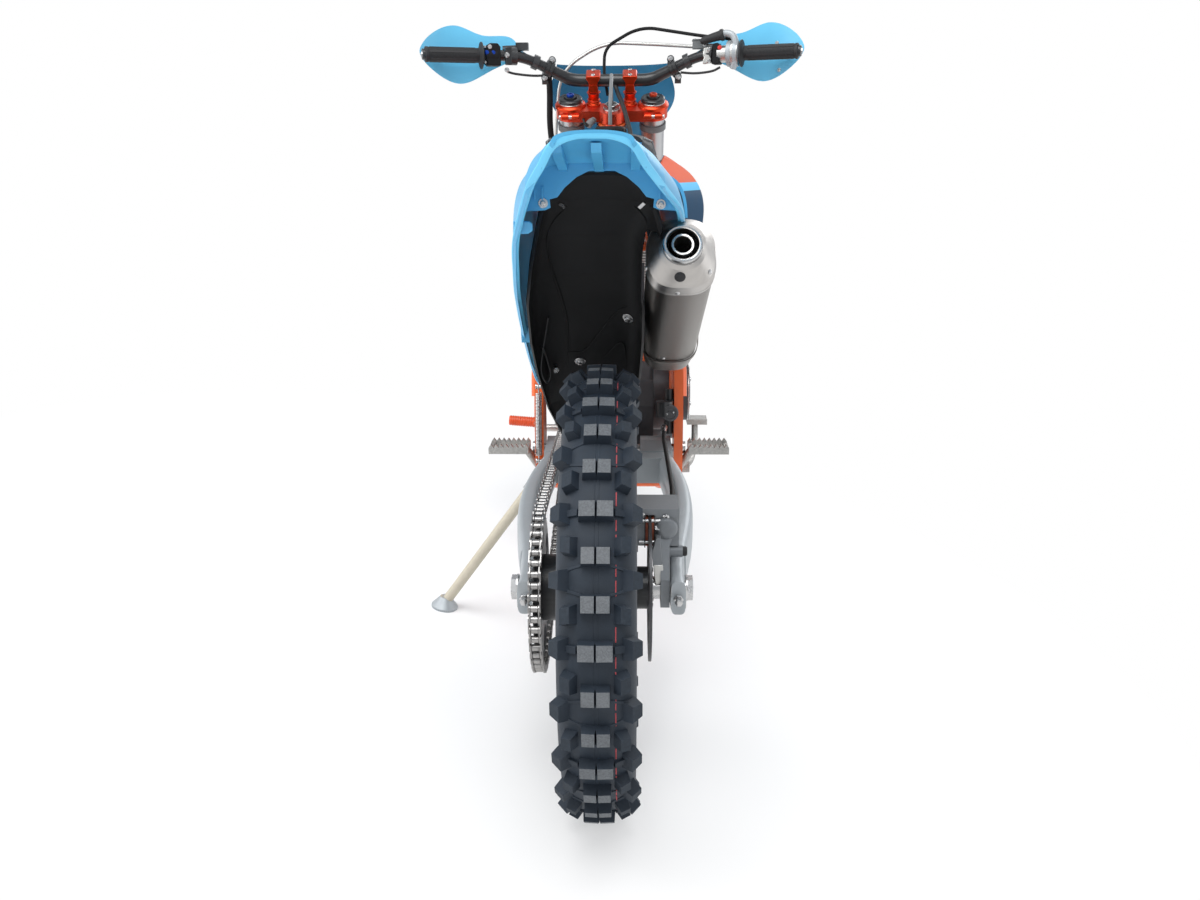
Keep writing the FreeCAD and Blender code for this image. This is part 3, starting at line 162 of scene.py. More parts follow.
def camera():
    """The camera as it was fitted to the photograph."""
    sensor = 36.0
    right, up, ahead = camera_axes()
    axes = TURN @ np.stack([right, up, -ahead], axis=1)
    data = bpy.data.cameras.new("camera")
    data.sensor_width = sensor
    data.lens = sensor * FOCAL_PX / (2 * PHOTO_CENTRE[0])
    data.clip_start = 0.05
    data.clip_end = 60.0
    cam = bpy.data.objects.new("camera", data)
    where = place(CAMERA_AT)
    cam.matrix_world = Matrix([[*axes[i], where[i]] for i in range(3)] + [[0, 0, 0, 1]])
    bpy.context.scene.collection.objects.link(cam)
    bpy.context.scene.camera = cam


# Materials

MATS = {}


def feed(tree, socket, value):
    """A plain value or another node's output into an input."""
    if isinstance(value, bpy.types.NodeSocket):
        tree.links.new(value, socket)
    else:
        socket.default_value = value


def add_node(tree, kind, inputs=None, **settings):
    """A shader node with its settings and inputs."""
    made = tree.nodes.new("ShaderNode" + kind)
    for key, value in settings.items():
        setattr(made, key, value)
    for key, value in (inputs or {}).items():
        feed(tree, made.inputs[key], value)
    return made


def new_material(name):
    """Keeps a material under its name and gives its tree, its shader and the piece's coordinates."""
    material = bpy.data.materials.new(name)
    material.use_nodes = True
    MATS[name] = material
    tree = material.node_tree
    return tree, tree.nodes["Principled BSDF"], add_node(tree, "TexCoord").outputs["Object"]


def noise(tree, vector, scale, detail=4.0, rough=0.5):
    wanted = {"Vector": vector, "Scale": scale, "Detail": detail, "Roughness": rough}
    return add_node(tree, "TexNoise", wanted).outputs["Fac"]


def remap(tree, value, low, high, to_low, to_high):
    wanted = {"Value": value, "From Min": low, "From Max": high, "To Min": to_low, "To Max": to_high}
    return add_node(tree, "MapRange", wanted).outputs["Result"]


def blend(tree, share, first, second):
    """Mixes two colours, each a plain colour or another node's output."""
    colours = [(*colour, 1) if isinstance(colour, tuple) else colour for colour in (first, second)]
    return add_node(tree, "Mix", {0: share, 6: colours[0], 7: colours[1]}, data_type="RGBA").outputs[2]


def surface(name, colour, rough=0.5, metal=0.0, mottle=0.12, grain=60.0, bump=0.15, bump_grain=900.0,
            stretch=(1, 1, 1), turn=(0, 0, 0), coat=0.0, spread=0.08, dust=0.0,
            dust_colour=(0.25, 0.21, 0.16), worn=0.0, specular=0.5, depth=0.0006):
    """A procedural finish: mottled colour, varied gloss, fine grain, dust and worn edges."""
    tree, shader, coords = new_material(name)
    mapped = add_node(tree, "Mapping", {"Vector": coords, "Scale": stretch, "Rotation": turn})
    drawn = mapped.outputs["Vector"]
    broad = noise(tree, drawn, grain, 5.0)
    low = tuple(max(0.0, c * (1 - mottle)) for c in colour)
    high = tuple(min(1.0, c * (1 + mottle) + 0.02 * mottle) for c in colour)
    painted = blend(tree, broad, low, high)
    if dust > 0:
        patches = noise(tree, coords, 9.0, 8.0, 0.7)
        painted = blend(tree, remap(tree, patches, 0.48, 0.75, 0.0, dust), painted, dust_colour)
    if worn > 0:
        edges = add_node(tree, "NewGeometry").outputs["Pointiness"]
        bare = tuple(min(1.0, c * 1.5 + 0.1) for c in colour)
        painted = blend(tree, remap(tree, edges, 0.52, 0.62, 0.0, worn), painted, bare)
    gloss = remap(tree, broad, 0.0, 1.0, max(0.02, rough - spread), min(1.0, rough + spread))
    wanted = {"Base Color": painted, "Roughness": gloss, "Metallic": metal, "Specular IOR Level": specular}
    if coat > 0:
        wanted.update({"Coat Weight": coat, "Coat Roughness": 0.12})
    if bump > 0:
        height = noise(tree, drawn, bump_grain, 3.0)
        relief = add_node(tree, "Bump", {"Height": height, "Strength": bump, "Distance": depth})
        wanted["Normal"] = relief.outputs["Normal"]
    for key, value in wanted.items():
        feed(tree, shader.inputs[key], value)


def plastics():
    """Painted and moulded parts."""
    surface("orange_frame", (0.80, 0.12, 0.015), 0.36, coat=0.3, mottle=0.08, dust=0.08)
    surface("blue_plastic", (0.075, 0.385, 0.66), 0.38, mottle=0.05, grain=20, bump=0.1, bump_grain=1500,
            worn=0.12)
    # A lighter copy of the blue plastic, a painted highlight, for the tail's rim and the hand guards
    surface("blue_rim", (0.15, 0.58, 0.88), 0.34, mottle=0.04, grain=30, bump=0.08, worn=0.1)
    # The headlight mask's darker blue is painted shade: its seen inner side lies in shadow
    surface("shaded_mask_blue", (0.030, 0.20, 0.37), 0.42, mottle=0.08, grain=25, bump=0.1)
    surface("orange_plastic", (0.72, 0.09, 0.02), 0.38, mottle=0.08, grain=25, bump=0.1)
    surface("black_plastic", (0.005, 0.0052, 0.006), 0.58, mottle=0.4, grain=12, dust=0.015,
            dust_colour=(0.05, 0.045, 0.04), bump=0.4, bump_grain=1400, specular=0.2)
    surface("red_button", (0.65, 0.03, 0.02), 0.4, mottle=0.06, bump=0.05)


def rubbers():
    """Tyres, grips, hoses and the seat's cover."""
    surface("grey_rubber", (0.16, 0.17, 0.175), 0.55, mottle=0.1, bump=0.2)
    surface("tyre_rubber", (0.015, 0.024, 0.037), 0.60, mottle=0.3, grain=40, bump=0.5, bump_grain=700,
            dust=0.12, dust_colour=(0.045, 0.048, 0.05), specular=0.38)
    surface("lug_top", (0.145, 0.155, 0.165), 0.92, mottle=0.55, grain=420, bump=1.0, bump_grain=1000,
            dust=0.5, dust_colour=(0.26, 0.27, 0.28), specular=0.25, depth=0.0012)
    surface("lug_side", (0.019, 0.028, 0.040), 0.72, mottle=0.4, grain=200, bump=0.7, bump_grain=900,
            dust=0.2, dust_colour=(0.05, 0.052, 0.055), specular=0.3)
    surface("tyre_line", (0.42, 0.06, 0.07), 0.7, mottle=0.3, grain=120, bump=0.2)
    surface("grip_rubber", (0.013, 0.0135, 0.015), 0.6, mottle=0.3, bump=0.4)
    surface("seat_cover", (0.013, 0.013, 0.014), 0.62, mottle=0.25, bump=0.9, bump_grain=420)
    # Near-black matte: soot, and painted shade deep in the silencer's outlet
    surface("soot_and_shade", (0.006, 0.006, 0.006), 0.9, mottle=0.4, grain=200, bump=0.3, specular=0.1)


def metals():
    """Cast, brushed, anodised and plated parts."""
    along_pipe = (0.49, 0, 0)
    surface("black_metal", (0.012, 0.013, 0.015), 0.34, mottle=0.2, coat=0.2, worn=0.15)
    surface("orange_anodised", (0.62, 0.045, 0.008), 0.30, metal=0.8, mottle=0.12, worn=0.3, bump=0.1)
    surface("blue_anodised", (0.01, 0.06, 0.42), 0.3, metal=0.8, mottle=0.1, bump=0.1)
    surface("copper_pad", (0.36, 0.10, 0.055), 0.55, metal=0.35, mottle=0.3, grain=200, bump=0.4)
    surface("grey_aluminium", (0.41, 0.44, 0.46), 0.48, metal=0.45, mottle=0.07, bump=0.25, bump_grain=1400,
            dust=0.08)
    surface("bright_aluminium", (0.62, 0.62, 0.60), 0.36, metal=0.9, mottle=0.12, bump=0.4, dust=0.1)
    surface("fork_silver", (0.52, 0.53, 0.54), 0.34, metal=0.85, mottle=0.04, bump=0.1, bump_grain=300,
            stretch=(1, 1, 12))
    surface("stand_cream", (0.55, 0.50, 0.40), 0.48, metal=0.25, mottle=0.12, grain=90, bump=0.2, dust=0.15)
    surface("cast_steel", (0.46, 0.45, 0.43), 0.45, metal=0.9, mottle=0.4, grain=260, bump=1.0,
            bump_grain=420, spread=0.2, dust=0.3, dust_colour=(0.16, 0.14, 0.12), depth=0.0012)
    surface("engine_metal", (0.075, 0.08, 0.088), 0.46, metal=0.6, mottle=0.15, bump=0.4, bump_grain=1100,
            dust=0.12)
    surface("steel", (0.56, 0.56, 0.56), 0.28, metal=1.0, mottle=0.1, grain=120, bump=0.1)
    surface("dark_steel", (0.10, 0.10, 0.105), 0.38, metal=0.85, mottle=0.25, grain=160, bump=0.2)
    surface("silencer_metal", (0.20, 0.185, 0.17), 0.34, metal=1.0, mottle=0.22, grain=22,
            stretch=(1, 14, 1), turn=along_pipe, bump=0.35, bump_grain=260, spread=0.1)
    surface("cap_metal", (0.50, 0.48, 0.46), 0.36, metal=1.0, mottle=0.16, grain=26, stretch=(1, 8, 1),
            turn=along_pipe, bump=0.25, bump_grain=300, spread=0.1)
    surface("cast_grey", (0.22, 0.235, 0.25), 0.5, metal=0.4, mottle=0.15, grain=90, bump=0.5,
            bump_grain=1000, dust=0.1)
    surface("chain_steel", (0.40, 0.39, 0.38), 0.34, metal=0.95, mottle=0.3, grain=260, dust=0.2,
            dust_colour=(0.05, 0.045, 0.04), bump=0.2)


def shroud_finish():
    """Orange above the panel's fold, a light blue stripe along it and dark blue below."""
    tree, shader, coords = new_material("shroud_finish")
    upright = add_node(tree, "Mapping", {"Vector": coords, "Rotation": (0, LEAN, 0)}).outputs["Vector"]
    apart = add_node(tree, "SeparateXYZ", {"Vector": upright}).outputs
    fold_y, fold_z = (780.0 + SHIFT[1]) / 1000.0, (921.0 + SHIFT[2]) / 1000.0
    length, drop = 0.30, 0.105
    stripe, soft = 0.0165, 0.0005
    falls = remap(tree, apart["Y"], fold_y, fold_y + length, 0.0, drop)
    height = add_node(tree, "Math", {0: apart["Z"], 1: falls}, operation="ADD").outputs["Value"]
    tone = noise(tree, coords, 30.0)
    blue = blend(tree, tone, (0.09, 0.44, 0.74), (0.11, 0.50, 0.80))
    dark = blend(tree, tone, (0.010, 0.045, 0.10), (0.016, 0.065, 0.13))
    orange = blend(tree, tone, (0.56, 0.07, 0.018), (0.66, 0.095, 0.025))
    over_dark = remap(tree, height, fold_z - stripe, fold_z - stripe + soft, 0, 1)
    over_blue = remap(tree, height, fold_z - soft, fold_z, 0, 1)
    painted = blend(tree, over_blue, blend(tree, over_dark, dark, blue), orange)
    feed(tree, shader.inputs["Base Color"], painted)
    feed(tree, shader.inputs["Roughness"], remap(tree, tone, 0, 1, 0.46, 0.58))
    feed(tree, shader.inputs["Specular IOR Level"], 0.15)


# CAD nodes whose finish isn't the one of their slot
LOOK_OF = {
    # The mask gets the darker blue of painted shade
    "headlight_mask": "shaded_mask_blue", "radiator_shrouds": "shroud_finish", "fork_outer_tubes": "fork_silver",
    # The hand guards get the lighter blue of a painted highlight
    "tank_breather": "grey_rubber", "hand_guards": "blue_rim", "footpegs": "cast_steel",
    "brake_pedal": "cast_steel", "rear_caliper": "cast_grey", "front_caliper": "cast_grey",
    "rear_disc": "dark_steel", "front_disc": "dark_steel",
}


SHARP = math.radians(32)


def dress_nodes():
    """Gives every CAD node its material, with crisp edges and smooth faces."""
    for entry in frame["record"]["subparts"]:
        name = entry["node"]
        mesh = frame["nodes"][name].data
        mesh.materials.clear()
        mesh.materials.append(MATS[LOOK_OF.get(name, entry["material_slot"])])
        for polygon in mesh.polygons:
            polygon.use_smooth = True
            polygon.material_index = 0
        mesh.set_sharp_from_angle(angle=SHARP)


def two_tone(node, look, chosen):
    """A second material on the faces of a CAD node whose middle is chosen."""
    mesh = frame["nodes"][node].data
    mesh.materials.append(MATS[look])
    for polygon in mesh.polygons:
        if chosen(unplace(polygon.center)):
            polygon.material_index = len(mesh.materials) - 1


# Mesh helpers: everything is drawn in bike millimetres

class Shape:
    """Collects vertices, faces and a material number per face."""

    def __init__(self):
        self.verts = []
        self.faces = []
        self.marks = []

    def add(self, verts, faces, mark=0):
        base = len(self.verts)
        self.verts.extend(tuple(map(float, v)) for v in verts)
        marks = mark if isinstance(mark, list) else [mark] * len(faces)
        for face, value in zip(faces, marks):
            self.faces.append(tuple(base + i for i in face))
            self.marks.append(value)


def build(name, shape, looks="steel", body="chassis", bevel=0.0, segments=2, angle=35):
    """Makes a piece from a shape, with its looks as its materials in their order."""
    looks = [looks] if isinstance(looks, str) else looks
    mesh = bpy.data.meshes.new(name)
    mesh.from_pydata([tuple(p) for p in place(shape.verts)], [], shape.faces)
    mesh.update()
    obj = bpy.data.objects.new(name, mesh)
    bpy.context.scene.collection.objects.link(obj)
    for key in looks:
        mesh.materials.append(MATS[key])
    for polygon, mark in zip(mesh.polygons, shape.marks):
        polygon.material_index = mark
        polygon.use_smooth = True
    mesh.set_sharp_from_angle(angle=math.radians(angle))
    if bevel > 0:
        rounder = obj.modifiers.new("bevel", "BEVEL")
        rounder.width = bevel / 1000.0
        rounder.segments = segments
        rounder.limit_method = "ANGLE"
        rounder.angle_limit = math.radians(angle)
    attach(obj, body)
    return obj


def square_to(axis):
    """Two directions at right angles to an axis and to each other."""
    axis = unit(axis)
    other = UP if abs(axis[2]) < 0.9 else ACROSS
    u = unit(np.cross(axis, other))
    return axis, u, np.cross(axis, u)


def turned(shape, at, axis, rings, sides=24, mark=0, hollow=False):
    """Rings of (along, radius) about an axis; a third value makes a ring hexagonal."""
    at = np.asarray(at, float)
    axis, u, v = square_to(axis)
    verts, faces = [], []
    for ring in rings:
        along, radius = ring[:2]
        for k in range(sides):
            a = 2 * math.pi * k / sides
            r = radius
            if len(ring) > 2:
                r = radius * math.cos(math.pi / 6) / math.cos(a % (math.pi / 3) - math.pi / 6)
            verts.append(at + axis * along + (u * math.cos(a) + v * math.sin(a)) * r)
    count = len(rings)
    for i in range(count if hollow else count - 1):
        here, there = i * sides, (i + 1) % count * sides
        for k in range(sides):
            n = (k + 1) % sides
            faces.append((here + k, here + n, there + n, there + k))
    if not hollow:
        faces.append(tuple(range(sides))[::-1])
        faces.append(tuple(range((count - 1) * sides, count * sides)))
    shape.add(verts, faces, mark)


def bolt(shape, at, out, r=4.0, washer=0.0, mark=0, sides=24):
    """A rounded head with a hexagonal socket, on a washer where one is wanted."""
    foot, base = -1.5, 0.0
    rings = []
    if washer:
        foot = base = 1.3
        rings = [(-1.5, washer), (0.9, washer), (base, washer - 0.5)]
    rings += [(foot, r), (base + 0.55 * r, r), (base + 0.8 * r, 0.8 * r), (base + 0.85 * r, 0.55 * r),
              (base + 0.85 * r, 0.5 * r, 6), (base + 0.3 * r, 0.46 * r, 6)]
    turned(shape, at, out, rings, sides, mark)


def nut(shape, at, out, r=8.0, height=6.0, mark=0):
    """A hexagon with a short threaded end."""
    rings = [(-0.5, r, 6), (height * 0.85, r, 6), (height, r * 0.82), (height, r * 0.5),
             (height + 2.5, r * 0.5), (height + 3, r * 0.42)]
    turned(shape, at, out, rings, 24, mark)


def prism(shape, outline, origin, u, v, depth, mark=0):
    """An outline of (u, v) pairs, filled along the direction square to both."""
    u, v = np.asarray(u, float), np.asarray(v, float)
    w = np.cross(u, v)
    count = len(outline)
    turn = sum(a[0] * b[1] - b[0] * a[1] for a, b in zip(outline, outline[1:] + outline[:1]))
    points = outline if turn > 0 else outline[::-1]
    verts = []
    for lift in (0.0, depth):
        verts += [np.asarray(origin, float) + u * a + v * b + w * lift for a, b in points]
    faces = [tuple(range(count))[::-1], tuple(range(count, 2 * count))]
    for k in range(count):
        n = (k + 1) % count
        faces.append((k, n, count + n, count + k))
    shape.add(verts, faces, mark)


def block(shape, x, y, z, mark=0):
    """A box from three pairs of limits."""
    outline = [(x[0], y[0]), (x[1], y[0]), (x[1], y[1]), (x[0], y[1])]
    prism(shape, outline, (0, 0, z[0]), ACROSS, -BACK, z[1] - z[0], mark)


def curve_through(points, per=8):
    """A smooth line through the points, in short steps."""
    pts = [np.asarray(p, float) for p in points]
    pts = [2 * pts[0] - pts[1]] + pts + [2 * pts[-1] - pts[-2]]
    out = []
    for a, b, c, d in zip(pts, pts[1:], pts[2:], pts[3:]):
        for k in range(per):
            t = k / per
            out.append(0.5 * (2 * b + (c - a) * t + (2 * a - 5 * b + 4 * c - d) * t * t
                              + (3 * b - a - 3 * c + d) * t ** 3))
    out.append(pts[-2])
    return out


def sweep(shape, line, radius, sides=10, mark=0, outline=None, inward=None):
    """Carries a circle, or an outline with its own inward direction, along a line."""
    line = [np.asarray(p, float) for p in line]
    count = len(line)
    _, u, _ = square_to(line[1] - line[0])
    turns = [2 * math.pi * k / sides for k in range(sides)]
    section = outline or [(math.cos(a), math.sin(a)) for a in turns]
    sides = len(section)
    verts, faces = [], []
    for i, here in enumerate(line):
        run = unit(line[min(i + 1, count - 1)] - line[max(i - 1, 0)])
        if inward is not None:
            u = inward[i]
        u = unit(u - run * (u @ run))
        v = np.cross(run, u)
        r = radius[i] if isinstance(radius, (list, np.ndarray)) else radius
        verts += [here + (u * a + v * b) * r for a, b in section]
    for i in range(count - 1):
        for k in range(sides):
            n = (k + 1) % sides
            faces.append((i * sides + k, i * sides + n, (i + 1) * sides + n, (i + 1) * sides + k))
    faces.append(tuple(range(sides))[::-1])
    faces.append(tuple(range((count - 1) * sides, count * sides)))
    shape.add(verts, faces, mark)


def tube(shape, points, radius, per=8, sides=8, mark=0):
    """A round tube along a smooth line through the points."""
    sweep(shape, curve_through(points, per), radius, sides, mark)


def coil(shape, low, high, radius, wire, turns, mark=0, steps=20, sides=8):
    """A spring wound about the line between two points."""
    low, high = np.asarray(low, float), np.asarray(high, float)
    axis, u, v = square_to(high - low)
    length = np.linalg.norm(high - low)
    line = []
    for k in range(int(turns * steps) + 1):
        a = 2 * math.pi * k / steps
        line.append(low + axis * length * k / (turns * steps) + (u * math.cos(a) + v * math.sin(a)) * radius)
    sweep(shape, line, wire, sides, mark)


# Tyres

BEAD_WIDTH = 8


def wheel_point(x, radius, degrees, centre):
    """A point across, out from and round a wheel's centre, counted from straight ahead."""
    a = math.radians(degrees)
    return np.array([x, centre[0] + radius * math.cos(a), centre[1] + radius * math.sin(a)])


def rounded(points, cuts=2):
    """Rounds an open outline by cutting its corners."""
    pts = [np.array(p, float) for p in points]
    for _ in range(cuts):
        out = [pts[0]]
        for a, b in zip(pts[:-1], pts[1:]):
            out += [a * 0.75 + b * 0.25, a * 0.25 + b * 0.75]
        out.append(pts[-1])
        pts = out
    return [tuple(p) for p in pts]


def carcass(name, body, centre, half, node, steps=120):
    """The tyre's rounded body, from one side's outline of (x, radius) pairs."""
    other = [(-x, r) for x, r in half[:0:-1]]
    bead_x, bead_r = half[-1]
    inner_x = bead_x - BEAD_WIDTH
    profile = rounded(other + half) + [(inner_x, bead_r), (-inner_x, bead_r)]
    verts, faces = [], []
    count = len(profile)
    for k in range(steps):
        verts += [wheel_point(x, r, 360.0 * k / steps, centre) for x, r in profile]
    for k in range(steps):
        for j in range(count):
            a, b = k * count + j, k * count + (j + 1) % count
            c, d = ((k + 1) % steps) * count + (j + 1) % count, ((k + 1) % steps) * count + j
            faces.append((a, b, c, d))
    shape = Shape()
    shape.add(verts, faces)
    piece = build(name, shape, "tyre_rubber", body=body, angle=50)
    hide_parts(node)


def lug(shape, degrees, x, top_r, tilt, width, length, height, centre, taper=2.2, skew=0.0, chop=0.0, top=1):
    """A tread block whose top faces out of the tyre at a tilt from the radius."""
    radial = wheel_point(0, 1, degrees, (0, 0))
    around = np.array([0.0, -radial[2], radial[1]])
    t = math.radians(tilt)
    up = radial * math.cos(t) + ACROSS * math.sin(t)
    across = ACROSS * math.cos(t) - radial * math.sin(t)
    middle = wheel_point(x, top_r, degrees, centre)
    w, l = width / 2, length / 2
    verts = []
    for depth, grow in ((0.0, 0.0), (-height, taper)):
        for s, q in ((-1, -1), (1, -1), (1, 1), (-1, 1)):
            cut = chop if s * (1 if tilt >= 0 else -1) > 0 else 0.0
            sideways = across * s * (w + grow)
            verts.append(middle + up * depth + sideways + around * (q * (l + grow - cut) + s * skew))
    faces = [(0, 1, 2, 3), (7, 6, 5, 4), (0, 4, 5, 1), (1, 5, 6, 2), (2, 6, 7, 3), (3, 7, 4, 0)]
    shape.add(verts, faces, [top, 0, 0, 0, 0, 0])


def rib(shape, p, q, width, height, up, mark=0):
    """A low straight rib from p to q, standing along up."""
    run = unit(q - p)
    side = unit(np.cross(up, run))
    sunk, spread = 3.0, 1.0
    verts = []
    for lift, grow in ((height, 0.0), (-sunk, spread)):
        for base, s in ((p, -1), (p, 1), (q, 1), (q, -1)):
            verts.append(base + up * lift + side * s * (width / 2 + grow))
    faces = [(0, 1, 2, 3), (7, 6, 5, 4), (0, 4, 5, 1), (1, 5, 6, 2), (2, 6, 7, 3), (3, 7, 4, 0)]
    shape.add(verts, faces, mark)


def tie(shape, centre, side, inner, outer, inner_at, outer_at, width, height):
    """A rib across a tyre's shoulder, from (x, radius) to (x, radius) at two angles."""
    p = wheel_point(side * inner[0], inner[1], inner_at, centre)
    q = wheel_point(side * outer[0], outer[1], outer_at, centre)
    share_out, share_side = 0.85, 0.52
    out = wheel_point(0, share_out, (inner_at + outer_at) / 2, (0, 0)) + ACROSS * side * share_side
    rib(shape, p, q, width, height, unit(out))


def lug_pairs(shape, centre, degrees, rows):
    """Mirrored tread blocks, each of a row: angle on, x, radius, tilt, width, length, height,
    taper, skew, chop and the top's material."""
    for s in (-1, 1):
        for on, x, top_r, tilt, width, length, height, taper, skew, chop, top in rows:
            lug(shape, degrees + on, s * x, top_r, s * tilt, width, length, height, centre,
                taper, s * skew, chop, top)


def rear_tyre():
    """Centre blocks in twos with ribs between, side and shoulder blocks with ties, and a dashed line."""
    half = [(0, 322.5), (18, 321.5), (32, 316.5), (42, 308), (48, 298), (51, 286), (50, 271), (46.5, 258),
            (41, 251.5), (28.8, 246.3), (28.6, 236.6)]
    carcass("rear_tyre_carcass", "rear_wheel", REAR_CENTRE, half, "rear_tyre")
    side_rows = [(0.0, 51.6, 318.4, 46, 17.5, 24, 17, 2.4, 0, 3.0, 3),
                 (15.0, 51.6, 318.4, 46, 17.5, 24, 17, 2.4, 0, 3.0, 3),
                 (7.5, 37.5, 328.4, 28, 14, 20, 15, 2.4, -1.5, 0, 3),
                 (22.5, 37.5, 328.4, 28, 14, 20, 15, 2.4, 1.5, 0, 3)]
    groove, wide, narrow = 1.3, 21.3, 17.6
    valley_r, dashes_r, dashes_x = 322.2, 319.9, 24.8
    shape = Shape()
    for k in range(36):
        at = 10.0 * k
        reach = wide if k % 3 == 2 else narrow
        for s in (-1, 1):
            middle = s * (groove + (reach - groove) / 2)
            lug(shape, at, middle, 336.6, s * 3.0, reach - groove, 20.5, 15.5, REAR_CENTRE, 1.6)
            p, q = (wheel_point(s * 2 * groove, valley_r, at + step, REAR_CENTRE) for step in (1.5, 8.5))
            rib(shape, p, q, 1.6, 0.9, wheel_point(0, 1, at + 5, (0, 0)))
        for start, length in ((1.6, 2.6), (5.0, 3.4)):
            p, q = (wheel_point(dashes_x, dashes_r, at + start + step, REAR_CENTRE) for step in (0, length))
            rib(shape, p, q, 0.9, 0.5, unit(wheel_point(0, 0.95, at + start, (0, 0)) + ACROSS * 0.3), 2)
    for k in range(12):
        base = 20.0 + 30.0 * k
        lug_pairs(shape, REAR_CENTRE, base, side_rows)
        for s in (-1, 1):
            tie(shape, REAR_CENTRE, s, (22, 321), (45, 309), base, base, 9, 3.2)
            for away in (-1, 1):
                inner_at, outer_at = base + 15 + away * 3.3, base + 15 + away * 1.7
                tie(shape, REAR_CENTRE, s, (15, 321), (45, 309.5), inner_at, outer_at, 3.5, 3.0)
    looks = ["tyre_rubber", "lug_top", "tyre_line", "lug_side"]
    build("rear_tyre_lugs", shape, looks, body="rear_wheel", bevel=1.1)


def front_tyre():
    """Four rows of blocks on each side of the middle, by turns."""
    half = [(0, 335.5), (14, 334.5), (26, 330), (34, 323), (39, 314), (41, 304), (39, 294), (34, 287),
            (28, 284.5), (20.9, 283.3), (20.7, 273.5)]
    carcass("front_tyre_carcass", "front_wheel", FRONT_CENTRE, half, "front_tyre")
    rows = [(0, 8.6, 347.6, 3, 13.5, 24, 13, 1.6, 0, 0, 1),
            (9, 13.5, 346.2, 8, 12, 20, 13, 1.6, 0, 0, 1),
            (0, 30.5, 339.3, 27, 12, 22, 12, 1.8, 0, 0, 2),
            (9, 38.8, 329.8, 46, 15, 22, 13, 2.0, 0, 2.0, 2)]
    shape = Shape()
    for k in range(20):
        lug_pairs(shape, FRONT_CENTRE, 18.0 * k - 90, rows)
    build("front_tyre_lugs", shape, ["tyre_rubber", "lug_top", "lug_side"], body="front_wheel", bevel=1.1)


# Wheels

def wheel_trim(body, centre, rim_r, flange_x, flange_r, disc_x, bolts_r, out):
    """Spoke nipples, a valve and the disc's bolts."""
    spokes, valve_at, twist = 36, 185, 38
    nipple_r, root_r, valve_r = rim_r - 18.0, flange_r - 4.0, rim_r - 19
    nipple = [(-4, 3.6), (9, 3.3, 6), (15, 3.0, 6), (15.5, 2.3)]
    valve = [(0, 5.5, 6), (4, 5.5, 6), (4, 3), (30, 3), (32, 2.4)]
    shape = Shape()
    for k in range(spokes):
        at = 360.0 / spokes * k
        side = 1 if k % 2 else -1
        cross = 1 if (k // 2) % 2 else -1
        a = wheel_point(side * flange_x, root_r, at + cross * twist, centre)
        b = wheel_point(side * 3.0, nipple_r, at, centre)
        turned(shape, b, unit(a - b), nipple, 12)
    turned(shape, wheel_point(0, valve_r, valve_at, centre), wheel_point(0, -1, valve_at, (0, 0)), valve, 12)
    for k in range(6):
        at = wheel_point(disc_x + out * 2, bolts_r, 60 * k + 15, centre)
        bolt(shape, at, ACROSS * out, 4.2, sides=18)
    build(body + "_trim", shape, body=body)


def sprocket_teeth():
    """Teeth inside the chain, on the ring that carries them, and the ring's bolts."""
    root_r, flank_r, tip_r = 107.0, 111.5, 115.2
    outline = [(root_r, -5.2), (flank_r, -3.8), (tip_r, -1.6), (tip_r, 1.6), (flank_r, 3.8), (root_r, 5.2)]
    thick = 5.8
    shape, bolts = Shape(), Shape()
    for k in range(REAR_TEETH):
        radial = wheel_point(0, 1, 360.0 / REAR_TEETH * k, (0, 0))
        around = np.cross(ACROSS, radial)
        prism(shape, outline, (CHAIN_X - thick / 2, 0, REAR_Z), radial, around, thick)
    build("sprocket_teeth", shape, "black_metal", body="rear_wheel", bevel=0.4)
    for k in range(6):
        bolt(bolts, wheel_point(CHAIN_X - 3.5, 61, 60 * k, REAR_CENTRE), -ACROSS, 4.6, washer=6.5, sides=18)
    build("sprocket_bolts", bolts, body="rear_wheel")


# Chain

def chain_places():
    """The pins' places along the chain, evenly spaced round both sprockets."""
    rear_r = CHAIN_PITCH / 2 / math.sin(math.pi / REAR_TEETH)
    small_r = CHAIN_PITCH / 2 / math.sin(math.pi / FRONT_TEETH)
    dy, dz = SMALL_SPROCKET[0], SMALL_SPROCKET[1] - REAR_Z
    heading = math.atan2(dz, dy)
    off = math.acos((rear_r - small_r) / math.hypot(dy, dz))
    run = math.hypot(dy, dz) * math.sin(off)
    legs = [(REAR_CENTRE, rear_r, heading + off, 2 * (math.pi - off) * rear_r, True),
            (REAR_CENTRE, rear_r, heading - off, run, False),
            (SMALL_SPROCKET, small_r, heading - off, 2 * off * small_r, True),
            (SMALL_SPROCKET, small_r, heading + off, run, False)]
    total = sum(leg[3] for leg in legs)
    count = 2 * round(total / (2 * CHAIN_PITCH))
    found = []
    for k in range(count):
        at = total * k / count
        for (cy, cz), r, turn, length, bent in legs:
            if at < length:
                break
            at -= length
        if bent:
            turn, at = turn + at / r, 0.0
        out_y, out_z = math.cos(turn), math.sin(turn)
        found.append(np.array([CHAIN_X, cy + r * out_y - at * out_z, cz + r * out_z + at * out_y]))
    return found


